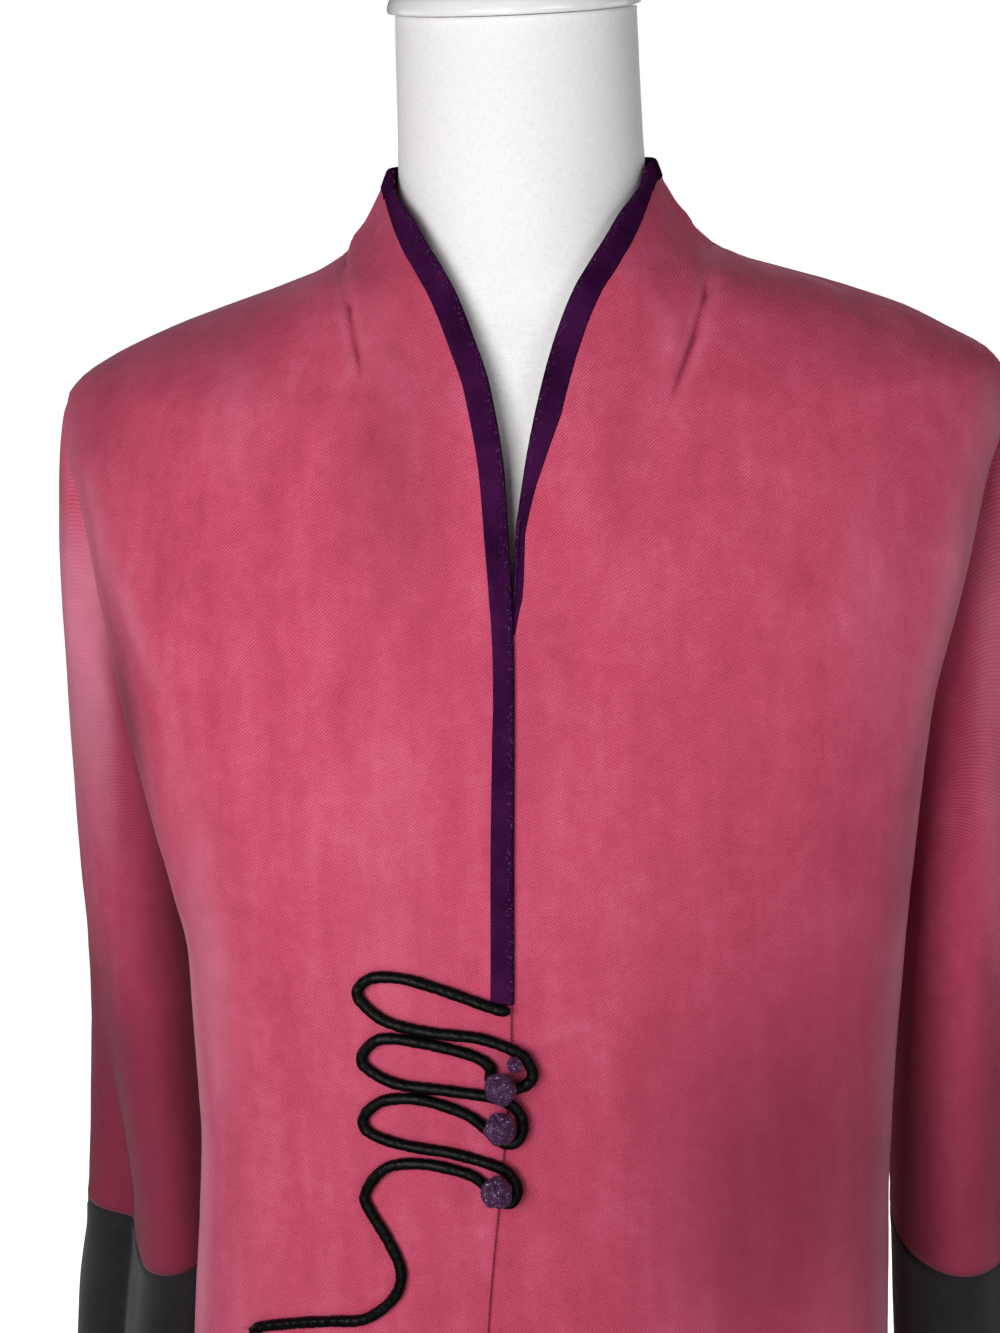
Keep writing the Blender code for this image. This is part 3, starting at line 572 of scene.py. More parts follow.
BACK_CREASES = (
    (((150, -30), (120, -60), (86, -84)), 10.0, -1.3, 0.00),
    (((-146, -28), (-112, -62), (-80, -90)), 11.0, -1.4, 0.00),
    (((176, -120), (150, -150), (118, -170)), 9.0, 1.2, 0.20),
    (((-174, -126), (-146, -158), (-120, -172)), 9.0, 1.2, 0.20),
    (((60, -240), (52, -330), (58, -430), (70, -560), (76, -700)), 20.0, 2.2, 0.12),
    (((-66, -250), (-54, -340), (-60, -440), (-74, -570), (-82, -700)), 21.0, 2.0, 0.12),
    (((4, -300), (-4, -380), (2, -480), (6, -600), (8, -700)), 18.0, -2.0, 0.00),
    (((120, -300), (108, -400), (116, -520), (124, -700)), 17.0, -1.9, 0.00),
    (((-124, -310), (-112, -400), (-118, -530), (-128, -700)), 18.0, -1.8, 0.00),
    (((96, -318), (50, -326), (8, -322)), 9.0, -1.1, 0.00),
    (((-98, -334), (-52, -340), (-10, -346)), 9.0, -1.0, 0.00),
    (((-40, 8), (0, 4), (40, 9)), 6.0, -0.9, 0.00),
)
DARTS = (
    ((-85.0, 4.0), (-82.4, -1.4), (-74.5, -16.4), (-69.4, -35.7), (-65.4, -52.6)),
    ((86.5, 6.0), (85.6, 1.5), (82.5, -15.1), (76.7, -32.5), (68.1, -52.4), (63.6, -65.1)),
)


def back_point(x, h):
    """Angle of a place on the back, from x."""
    half = np.where(x >= 0, par("left", h), par("right", h))
    ratio = np.minimum(0.999, np.abs(x) / half) ** (par("back_n", h) / 2.0)
    return np.copysign(180.0 - np.degrees(np.arcsin(ratio)), x)


def crease_list():
    out = []
    for where, rows in (("front", FRONT_CREASES), ("back", BACK_CREASES)):
        for places, width, depth, wear_and_sheen in rows:
            x = np.array([p[0] for p in places]) / 1000
            h = np.array([p[1] for p in places]) / 1000
            angle = x_angle(x, h) if where == "front" else back_point(x, h)
            out.append((skin(angle, h), width / 1000, depth / 1000, wear_and_sheen))
    return out


CREASES = crease_list()
DART_WAYS = [skin(x_angle(np.array([p[0] for p in d]) / 1000, np.array([p[1] for p in d]) / 1000),
                  np.array([p[1] for p in d]) / 1000) for d in DARTS]


def relief(points):
    """Height of the cloth over its smooth surface, and how pale it is from rubbed wear with a painted sheen highlight.
    """
    lift = np.zeros(points.shape[:-1])
    wear_and_sheen = np.zeros(points.shape[:-1])
    for way, width, depth, pale in CREASES:
        gap, t = way_distance(points, way)
        fade = np.sin(math.pi * np.clip(t * 0.94 + 0.03, 0, 1)) ** 0.7
        if way[-1][2] < NECK_POINT + HEM + 0.01:
            fade = soft(t / 0.5)
        bell = np.exp(-(gap / width) ** 2) * fade
        lift += depth * bell
        wear_and_sheen = np.maximum(wear_and_sheen, pale * bell)
    for way in DART_WAYS:
        gap, t = way_distance(points, way)
        fade = soft((1.0 - t) / 0.25)
        lift -= 0.0017 * np.exp(-(gap / 0.0012) ** 2) * fade + 0.0007 * np.exp(-(gap / 0.0045) ** 2) * fade
        lift += 0.0010 * np.exp(-((gap - 0.0085) / 0.0055) ** 2) * fade
        wear_and_sheen = np.maximum(wear_and_sheen, 0.14 * np.exp(-((gap - 0.0040) / 0.0022) ** 2) * fade)
    calm = soft((0.030 - (points[..., 2] - NECK_POINT)) / 0.05)
    lift += 0.00055 * ripple(points, (7.0, 7.0, 4.0), 3) * calm
    lift += 0.00022 * ripple(points, (26.0, 26.0, 15.0), 8) * calm
    return lift, wear_and_sheen


def calm_centre(points):
    """A constant 1.0: the creases are not faded where the two fronts lie over each other or at the binding."""
    return 1.0


def dress(angle, h, lift=0.0):
    """Points on the creased cloth, moved out along its normal."""
    base = skin(angle, h)
    n = skin_normal(angle, h)
    r, wear_and_sheen = relief(base)
    return base + n * (r + lift)[..., None], n, wear_and_sheen


def tucked(points):
    """How far the left front lies in under the right one."""
    h = points[..., 2] - NECK_POINT
    return TUCK * soft((-0.088 - h) / 0.035) * soft((0.042 - points[..., 0]) / 0.032)


def level_list(step, low=HEM, high=TOP):
    count = int(round((high - low) / step))
    return np.array([high + (low - high) * i / count for i in range(count + 1)])


def even_angles(first, last, h, count):
    """Angles of evenly spaced columns along a level, for one height."""
    fine = np.linspace(first, last, 160)
    p = skin(fine, np.full(160, h))
    run = np.concatenate([[0], np.cumsum(np.linalg.norm(np.diff(p, axis=0), axis=1))])
    return np.interp(np.linspace(0, run[-1], count + 1), run, fine), run[-1]


def arm_angles(h):
    return armhole_angles(float(h))


# ---------------------------------------------------------------- materials
def sockets(name, **values):
    """A new material with one Principled shader and its constant sockets."""
    m = bpy.data.materials.new(name)
    m.use_nodes = True
    shader = m.node_tree.nodes["Principled BSDF"]
    for key, value in values.items():
        shader.inputs[key.replace("_", " ")].default_value = value
    return m, m.node_tree, shader


class Tree:
    """Short calls for the nodes used below."""

    def __init__(self, tree):
        self.t = tree

    def node(self, kind, **inputs):
        n = self.t.nodes.new(kind)
        for key, value in inputs.items():
            socket = n.inputs[int(key[1:])] if key[0] == "_" and key[1:].isdigit() else n.inputs[key.replace("_", " ")]
            if isinstance(value, bpy.types.NodeSocket):
                self.t.links.new(value, socket)
            else:
                socket.default_value = value
        return n

    def math(self, operation, a, b=0.0, c=0.0, clamp=False):
        n = self.t.nodes.new("ShaderNodeMath")
        n.operation = operation
        n.use_clamp = clamp
        for socket, value in zip(n.inputs, (a, b, c)):
            if isinstance(value, bpy.types.NodeSocket):
                self.t.links.new(value, socket)
            else:
                socket.default_value = value
        return n.outputs[0]

    def noise(self, vector, scale, detail=3.0, rough=0.55):
        n = self.node("ShaderNodeTexNoise", Vector=vector, Scale=scale, Detail=detail, Roughness=rough)
        return n.outputs["Fac"]

    def stretch(self, vector, x, y, z):
        n = self.t.nodes.new("ShaderNodeMapping")
        self.t.links.new(vector, n.inputs["Vector"])
        n.inputs["Scale"].default_value = (x, y, z)
        return n.outputs[0]

    def ramp(self, fac, *stops):
        n = self.t.nodes.new("ShaderNodeValToRGB")
        self.t.links.new(fac, n.inputs[0])
        ramp = n.color_ramp
        while len(ramp.elements) < len(stops):
            ramp.elements.new(0.5)
        for element, (place_at, colour) in zip(ramp.elements, stops):
            element.position = place_at
            element.color = (*colour, 1.0) if len(colour) == 3 else colour
        return n.outputs[0]

    def mix(self, fac, a, b, kind="MIX"):
        n = self.t.nodes.new("ShaderNodeMix")
        n.data_type = "RGBA"
        n.blend_type = kind
        for key, value in ((0, fac), (6, a), (7, b)):
            if isinstance(value, bpy.types.NodeSocket):
                self.t.links.new(value, n.inputs[key])
            else:
                n.inputs[key].default_value = value if key == 0 else (*value, 1.0)
        return n.outputs[2]

    def attribute(self, name):
        n = self.t.nodes.new("ShaderNodeAttribute")
        n.attribute_name = name
        return n.outputs["Fac"]

    def uv(self):
        n = self.t.nodes.new("ShaderNodeUVMap")
        n.uv_map = "cut"
        return n.outputs[0]

    def place(self):
        return self.t.nodes.new("ShaderNodeTexCoord").outputs["Object"]

    def split(self, vector):
        n = self.node("ShaderNodeSeparateXYZ", Vector=vector)
        return n.outputs[0], n.outputs[1]

    def bump(self, height, strength, distance, normal=None):
        n = self.node("ShaderNodeBump", Height=height, Strength=strength, Distance=distance)
        if normal is not None:
            self.t.links.new(normal, n.inputs["Normal"])
        return n.outputs[0]

    def link(self, a, b):
        self.t.links.new(a, b)


def make_twill():
    m, tree, shader = sockets("rose_twill", Roughness=0.86, Sheen_Weight=0.12, Sheen_Roughness=0.40)
    shader.inputs["Sheen Tint"].default_value = (1.0, 0.60, 0.74, 1.0)
    shader.inputs["Specular IOR Level"].default_value = 0.22
    t = Tree(tree)
    uv, at = t.uv(), t.place()
    u, v = t.split(uv)
    wobble = t.noise(uv, 260.0, 2.0)
    phase = t.math("MULTIPLY_ADD", u, -0.64, 0.0)
    phase = t.math("ADD", phase, t.math("MULTIPLY", v, 0.77))
    phase = t.math("MULTIPLY", phase, 2 * math.pi / TWILL_SPACING)
    phase = t.math("ADD", phase, t.math("MULTIPLY", wobble, 2.6))
    rib = t.math("MULTIPLY_ADD", t.math("SINE", phase), 0.5, 0.5)
    yarn = t.noise(t.stretch(uv, 1.0, 0.45, 1.0), 2100.0, 2.0, 0.6)
    # slow mottling of a sand-washed cloth, then streaks that run down it
    cloud = t.noise(at, 8.0, 4.0, 0.58)
    patch = t.noise(at, 27.0, 4.0, 0.62)
    fleck = t.noise(at, 120.0, 3.0, 0.65)
    streak = t.noise(t.stretch(at, 60.0, 60.0, 9.0), 1.0, 4.0, 0.62)
    tone = t.math("MULTIPLY", cloud, 0.26)
    tone = t.math("ADD", tone, t.math("MULTIPLY", patch, 0.16))
    tone = t.math("ADD", tone, t.math("MULTIPLY", streak, 0.36))
    tone = t.math("ADD", tone, t.math("MULTIPLY", fleck, 0.22))
    colour = t.ramp(tone, (0.36, (0.455, 0.052, 0.104)), (0.50, (0.560, 0.076, 0.140)),
                    (0.64, (0.640, 0.122, 0.200)))
    ribs = t.ramp(rib, (0.0, (0.66, 0.52, 0.58)), (0.55, (1.0, 1.0, 1.0)), (1.0, (1.12, 1.24, 1.18)))
    colour = t.mix(0.75, colour, ribs, "MULTIPLY")
    grain = t.ramp(yarn, (0.32, (0.66, 0.58, 0.62)), (0.52, (1.0, 1.0, 1.0)), (0.70, (1.18, 1.34, 1.28)))
    colour = t.mix(0.70, colour, grain, "MULTIPLY")
    # the nap is pale on ridges and folds: rubbed wear, with painted sheen highlights where they catch the light
    pale_wear_and_sheen = t.math("MULTIPLY", t.attribute("wear_and_sheen"), t.math("MULTIPLY_ADD", patch, 1.1, 0.45), clamp=True)
    colour = t.mix(pale_wear_and_sheen, colour, (0.700, 0.262, 0.345))
    # painted shade: the deep attribute darkens the cloth where shade falls, at the armhole edges, in folds, along the
    # darts and on the sleeves beside and below the body
    shade = t.attribute("deep")
    colour = t.mix(t.math("MULTIPLY", shade, 0.92, clamp=True), colour, (0.160, 0.016, 0.036))
    colour = t.mix(1.0, colour, (0.975, 0.895, 0.965), "MULTIPLY")
    t.link(colour, shader.inputs["Base Color"])
    rough = t.ramp(patch, (0.3, (0.80, 0.80, 0.80)), (0.7, (0.93, 0.93, 0.93)))
    t.link(rough, shader.inputs["Roughness"])
    nap = t.bump(t.noise(at, 520.0, 2.0), 0.25, 0.0004)
    weave = t.bump(rib, 0.55, 0.00022, nap)
    t.link(t.bump(yarn, 0.45, 0.00022, weave), shader.inputs["Normal"])
    return m


def make_suede():
    m, tree, shader = sockets("charcoal_suede", Roughness=0.92, Sheen_Weight=0.18, Sheen_Roughness=0.55)
    shader.inputs["Sheen Tint"].default_value = (0.62, 0.62, 0.68, 1.0)
    shader.inputs["Specular IOR Level"].default_value = 0.15
    t = Tree(tree)
    uv, at = t.uv(), t.place()
    brush = t.noise(at, 60.0, 4.0, 0.65)
    nap = t.noise(uv, 1500.0, 3.0, 0.7)
    cloud = t.noise(t.stretch(at, 16.0, 16.0, 7.0), 1.0, 3.0)
    tone = t.math("ADD", t.math("MULTIPLY", brush, 0.40), t.math("MULTIPLY", nap, 0.30))
    tone = t.math("ADD", tone, t.math("MULTIPLY", cloud, 0.30))
    colour = t.ramp(tone, (0.34, (0.0085, 0.0082, 0.0095)), (0.52, (0.0150, 0.0146, 0.0165)),
                    (0.68, (0.0270, 0.0262, 0.0290)))
    # paler where the cuff band is rubbed, with painted sheen highlights on its ridges
    colour = t.mix(t.math("MULTIPLY", t.attribute("wear_and_sheen"), 0.8, clamp=True), colour, (0.075, 0.070, 0.074))
    t.link(colour, shader.inputs["Base Color"])
    t.link(t.bump(nap, 0.6, 0.00030, t.bump(brush, 0.35, 0.0006)), shader.inputs["Normal"])
    return m


def make_satin():
    m, tree, shader = sockets("purple_satin", Roughness=0.50, Sheen_Weight=0.0, Sheen_Roughness=0.4)
    shader.inputs["Sheen Tint"].default_value = (0.8, 0.6, 0.9, 1.0)
    shader.inputs["Specular IOR Level"].default_value = 0.0
    t = Tree(tree)
    uv, at = t.uv(), t.place()
    u, v = t.split(uv)
    thread = t.math("MULTIPLY_ADD", t.math("SINE", t.math("MULTIPLY", t.math("ADD", u, v), 2 * math.pi / 0.00045)), 0.5, 0.5)
    crinkle = t.noise(t.stretch(uv, 1.0, 0.55, 1.0), 420.0, 3.0, 0.6)
    low = t.math("MULTIPLY", t.noise(at, 36.0, 3.0), 1.0)
    colour = t.ramp(low, (0.35, (0.0200, 0.0024, 0.0225)), (0.65, (0.0440, 0.0058, 0.0450)))
    # painted glints: small spots, mostly along the binding's folded edge, get a pale colour and a lower roughness to
    # stand in for highlights
    specks = t.node("ShaderNodeTexVoronoi", Vector=uv, Scale=1500.0)
    painted_glint = t.math("LESS_THAN", specks.outputs["Distance"], 0.30)
    glint_spots = t.math("GREATER_THAN", t.noise(uv, 640.0, 2.0), 0.545)
    painted_glint = t.math("MULTIPLY", painted_glint, glint_spots)
    painted_glint = t.math("MULTIPLY", painted_glint, t.math("MULTIPLY_ADD", t.attribute("rim"), 0.40, 0.02), clamp=True)
    colour = t.mix(painted_glint, colour, (0.32, 0.25, 0.35))
    t.link(colour, shader.inputs["Base Color"])
    t.link(t.ramp(painted_glint, (0.0, (0.52, 0.52, 0.52)), (1.0, (0.25, 0.25, 0.25))), shader.inputs["Roughness"])
    t.link(t.bump(thread, 0.25, 0.00012, t.bump(crinkle, 0.45, 0.0004)), shader.inputs["Normal"])
    return m


def make_cord():
    m, tree, shader = sockets("black_satin_cord", Roughness=0.36, Sheen_Weight=0.0, Sheen_Roughness=0.35)
    shader.inputs["Specular IOR Level"].default_value = 0.11
    t = Tree(tree)
    uv, at = t.uv(), t.place()
    u, v = t.split(uv)
    # the tube's bias satin: fine threads run slantwise round it
    slant = t.math("ADD", t.math("MULTIPLY", u, 1.0), t.math("MULTIPLY", v, 0.9))
    thread = t.math("MULTIPLY_ADD", t.math("SINE", t.math("MULTIPLY", slant, 2 * math.pi / 0.0006)), 0.5, 0.5)
    pucker = t.noise(t.stretch(uv, 1.0, 1.8, 1.0), 210.0, 3.0, 0.55)
    colour = t.ramp(pucker, (0.35, (0.0008, 0.0009, 0.0009)), (0.70, (0.0020, 0.0022, 0.0021)))
    t.link(colour, shader.inputs["Base Color"])
    t.link(t.ramp(pucker, (0.3, (0.25, 0.25, 0.25)), (0.7, (0.38, 0.38, 0.38))), shader.inputs["Roughness"])
    t.link(t.bump(thread, 0.22, 0.00015, t.bump(pucker, 0.60, 0.0009)), shader.inputs["Normal"])
    return m


def make_knot():
    m, tree, shader = sockets("purple_knot", Roughness=0.45, Sheen_Weight=0.08, Sheen_Roughness=0.4)
    shader.inputs["Sheen Tint"].default_value = (0.8, 0.6, 1.0, 1.0)
    shader.inputs["Specular IOR Level"].default_value = 0.30
    t = Tree(tree)
    uv = t.uv()
    u, v = t.split(uv)
    braid = t.math("SINE", t.math("ADD", t.math("MULTIPLY", u, 2 * math.pi / 0.0013),
                                  t.math("MULTIPLY", v, 2 * math.pi / 0.0011)))
    other = t.math("SINE", t.math("SUBTRACT", t.math("MULTIPLY", u, 2 * math.pi / 0.0013),
                                  t.math("MULTIPLY", v, 2 * math.pi / 0.0011)))
    plait = t.math("MULTIPLY_ADD", t.math("MAXIMUM", braid, other), 0.5, 0.5)
    mottle = t.noise(uv, 900.0, 2.0)
    colour = t.ramp(plait, (0.10, (0.0080, 0.0020, 0.0110)), (0.62, (0.0360, 0.0080, 0.0400)), (1.0, (0.0620, 0.0170, 0.0700)))
    # painted highlights: scattered bright lilac specks stand in for glints off the strands
    glint_spots = t.math("GREATER_THAN", mottle, 0.640)
    colour = t.mix(t.math("MULTIPLY", glint_spots, 0.80), colour, (0.42, 0.30, 0.47))
    t.link(colour, shader.inputs["Base Color"])
    t.link(t.bump(plait, 0.45, 0.0003), shader.inputs["Normal"])
    return m


def make_linen():
    m, tree, shader = sockets("white_linen", Roughness=0.88, Sheen_Weight=0.10)
    shader.inputs["Specular IOR Level"].default_value = 0.2
    t = Tree(tree)
    uv, at = t.uv(), t.place()
    u, v = t.split(uv)
    wob = t.noise(uv, 300.0, 2.0)
    warp = t.math("SINE", t.math("ADD", t.math("MULTIPLY", u, 2 * math.pi / 0.00085), t.math("MULTIPLY", wob, 3.0)))
    weft = t.math("SINE", t.math("ADD", t.math("MULTIPLY", v, 2 * math.pi / 0.00095), t.math("MULTIPLY", wob, 3.4)))
    weave = t.math("MULTIPLY_ADD", t.math("MULTIPLY", warp, weft), 0.5, 0.5)
    slub = t.noise(t.stretch(uv, 1.0, 0.16, 1.0), 1700.0, 3.0, 0.6)
    cross = t.noise(t.stretch(uv, 0.16, 1.0, 1.0), 1700.0, 3.0, 0.6)
    rows = t.math("ADD", t.math("MULTIPLY", slub, 0.5), t.math("MULTIPLY", cross, 0.5))
    colour = t.ramp(rows, (0.34, (0.790, 0.785, 0.785)), (0.52, (0.880, 0.876, 0.870)), (0.66, (0.920, 0.918, 0.912)))
    colour = t.mix(0.30, colour, t.ramp(weave, (0.0, (0.84, 0.84, 0.85)), (0.7, (1.0, 1.0, 1.0))), "MULTIPLY")
    t.link(colour, shader.inputs["Base Color"])
    t.link(t.bump(rows, 0.35, 0.0004, t.bump(weave, 0.40, 0.00018)), shader.inputs["Normal"])
    return m


def make_enamel():
    m, tree, shader = sockets("white_enamel", Roughness=0.20, Coat_Weight=0.4, Coat_Roughness=0.08)
    t = Tree(tree)
    at = t.place()
    haze = t.noise(at, 40.0, 3.0)
    t.link(t.ramp(haze, (0.3, (0.80, 0.805, 0.81)), (0.7, (0.87, 0.87, 0.87))), shader.inputs["Base Color"])
    t.link(t.ramp(t.noise(at, 160.0, 3.0), (0.3, (0.16, 0.16, 0.16)), (0.7, (0.27, 0.27, 0.27))), shader.inputs["Roughness"])
    t.link(t.bump(t.noise(at, 60.0, 2.0), 0.08, 0.0006), shader.inputs["Normal"])
    return m


def make_steel():
    m, tree, shader = sockets("steel", Metallic=1.0, Roughness=0.33)
    t = Tree(tree)
    at = t.place()
    lines = t.noise(t.stretch(at, 3.0, 3.0, 900.0), 1.0, 3.0)
    t.link(t.ramp(lines, (0.3, (0.50, 0.50, 0.51)), (0.7, (0.66, 0.66, 0.67))), shader.inputs["Base Color"])
    t.link(t.ramp(lines, (0.3, (0.26, 0.26, 0.26)), (0.7, (0.42, 0.42, 0.42))), shader.inputs["Roughness"])
    t.link(t.bump(lines, 0.10, 0.0002), shader.inputs["Normal"])
    return m


def make_paint():
    m, tree, shader = sockets("painted_steel", Roughness=0.40, Coat_Weight=0.15)
    t = Tree(tree)
    at = t.place()
    peel = t.noise(at, 420.0, 2.0)
    t.link(t.ramp(t.noise(at, 14.0, 3.0), (0.3, (0.74, 0.74, 0.735)), (0.7, (0.80, 0.80, 0.79))), shader.inputs["Base Color"])
    t.link(t.ramp(peel, (0.3, (0.36, 0.36, 0.36)), (0.7, (0.46, 0.46, 0.46))), shader.inputs["Roughness"])
    t.link(t.bump(peel, 0.20, 0.0003), shader.inputs["Normal"])
    return m


TWILL = make_twill()
SUEDE = make_suede()
SATIN = make_satin()
CORD = make_cord()
KNOT = make_knot()
LINEN = make_linen()
ENAMEL = make_enamel()
STEEL = make_steel()
PAINT = make_paint()


# ---------------------------------------------------------------- mesh builders
def grid_mesh(name, points, uvs, finish, nodes, ring=False, wall=None, values=None, outward=1.0, caps=False):
    """A cloth wall from a grid of points, thickened inwards if wall is given."""
    points = np.asarray(points, float)
    rows, cols = points.shape[:2]
    name = "fine_" + name
    mesh = bpy.data.meshes.new(name)
    flat = points.reshape(-1, 3)
    faces = []
    r = np.arange(rows - 1)[:, None]
    last = cols if ring else cols - 1
    c = np.arange(last)[None, :]
    d = (c + 1) % cols
    quad = np.stack(np.broadcast_arrays(r * cols + c, (r + 1) * cols + c, (r + 1) * cols + d, r * cols + d), -1)
    if outward < 0:
        quad = quad[..., ::-1]
    faces = quad.reshape(-1, 4).tolist()
    if caps:
        top = list(range(cols))
        bottom = list(range((rows - 1) * cols, rows * cols))
        faces.append(top if outward > 0 else top[::-1])
        faces.append(bottom[::-1] if outward > 0 else bottom)
    mesh.from_pydata(flat.tolist(), [], faces)
    layer = mesh.uv_layers.new(name="cut")
    uvs = np.asarray(uvs, float).reshape(rows, -1, 2)
    wide = uvs.shape[1]
    ring_uv = wide == cols + 1
    rr = np.broadcast_to(r, (rows - 1, last))
    cc = np.broadcast_to(c, (rows - 1, last))
    dd = cc + 1 if ring_uv else (cc + 1) % cols
    corner = np.stack([uvs[rr, cc], uvs[rr + 1, cc], uvs[rr + 1, dd], uvs[rr, dd]], 2)
    if outward < 0:
        corner = corner[:, :, ::-1]
    data = corner.reshape(-1, 2)
    full = np.zeros((len(mesh.loops), 2))
    full[:len(data)] = data
    layer.data.foreach_set("uv", full.astype(np.float32).ravel())
    values = dict(values or {})
    for key in ("wear_and_sheen", "deep", "rim"):
        value = values.get(key)
        attribute = mesh.attributes.new(key, "FLOAT", "POINT")
        if value is not None:
            attribute.data.foreach_set("value", np.asarray(value, np.float32).ravel())
    mesh.shade_smooth()
    mesh.materials.append(finish)
    obj = bpy.data.objects.new(name, mesh)
    bpy.context.scene.collection.objects.link(obj)
    if wall:
        solid = obj.modifiers.new("wall", "SOLIDIFY")
        solid.thickness = wall
        solid.offset = -1.0
        solid.use_even_offset = False
    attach(obj, "root")
    if nodes:
        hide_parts(*nodes)
    return obj


def run_lengths(points):
    """Lengths along the rows (across) and down the columns of a grid."""
    across = np.concatenate([np.zeros((points.shape[0], 1)),
                             np.cumsum(np.linalg.norm(np.diff(points, axis=1), axis=2), axis=1)], 1)
    down = np.concatenate([np.zeros((1, points.shape[1])),
                           np.cumsum(np.linalg.norm(np.diff(points, axis=0), axis=2), axis=0)], 0)
    return across, down


def sheet_area(obj):
    """Area of the outer side of a grid piece."""
    return sum(p.area for p in obj.data.polygons)


AREAS = {}


# Painted shade: broad darker places on the fronts where less light falls, at the shoulders, the collar, the lower right
# and along the body's edge by the sleeve.
PAINTED_SHADE_PLACES = (
    # x, height, half widths, how dark: millimetres
    (104, -410, 70, 120, 0.75), (-53, -82, 22, 50, 0.38), (-150, -36, 58, 26, 0.32), (-192, -62, 26, 34, 0.42),
    (-66, 8, 26, 16, 0.30), (46, -64, 16, 40, 0.12), (130, -44, 50, 20, 0.06), (-20, -420, 40, 60, 0.08),
    (-185, -205, 11, 56, 0.95), (8, -180, 34, 70, 0.08),
)
# Painted sheen highlights, with rubbed wear, at listed places on the fronts.
WEAR_AND_SHEEN_PLACES = (
    (188, -250, 11, 80, 0.60), (-151, -315, 12, 70, 0.45), (150, -150, 16, 60, 0.10),
)


def dart_x(side, h):
    """Sideways place of the dart at a height, carried straight on past its ends."""
    way = sorted((hh / 1000, x / 1000) for x, hh in DARTS[1 if side == "left" else 0])
    return float(np.interp(h, [w[0] for w in way], [w[1] for w in way]))


def dart_angles(side, start, end, h, count):
    """Columns of a front's level: close together along the dart."""
    fine = np.linspace(start, end, 400)
    p = skin(fine, np.full(400, h))
    run = np.concatenate([[0], np.cumsum(np.linalg.norm(np.diff(p, axis=0), axis=1))])
    total = run[-1]
    x = dart_x(side, h)
    limit = 0.995 * (par("left", h) if side == "left" else par("right", h))
    x = math.copysign(min(abs(x), float(limit)), x)
    at = float(np.interp(abs(x), np.abs(p[:, 0]) if side == "left" else -p[:, 0], run))
    at = min(max(at, 0.024), total - 0.009)
    band = 0.0075
    counts = (int(count * 0.24), int(count * 0.28))
    rest = count - sum(counts)
    s = np.concatenate([np.linspace(0, at - band, counts[0] + 1)[:-1],
                        np.linspace(at - band, at + band, counts[1] + 1)[:-1],
                        np.linspace(at + band, total, rest + 1)])
    return np.interp(s, run, fine), s, total


def dart_line(points):
    """How near a point is to a dart's seam, from 0 to 1."""
    near = np.zeros(points.shape[:-1])
    for way in DART_WAYS:
        gap, t = way_distance(points, way)
        near = np.maximum(near, 0.85 * np.exp(-(gap / 0.0009) ** 2) * soft((1.0 - t) / 0.22))
    return near


def corner_drop(s, h):
    """The neckline rounds over from the front edge into the collar's top."""
    return 0.0052 * np.exp(-np.asarray(s) / 0.0070) * soft((h - 0.016) / 0.024)


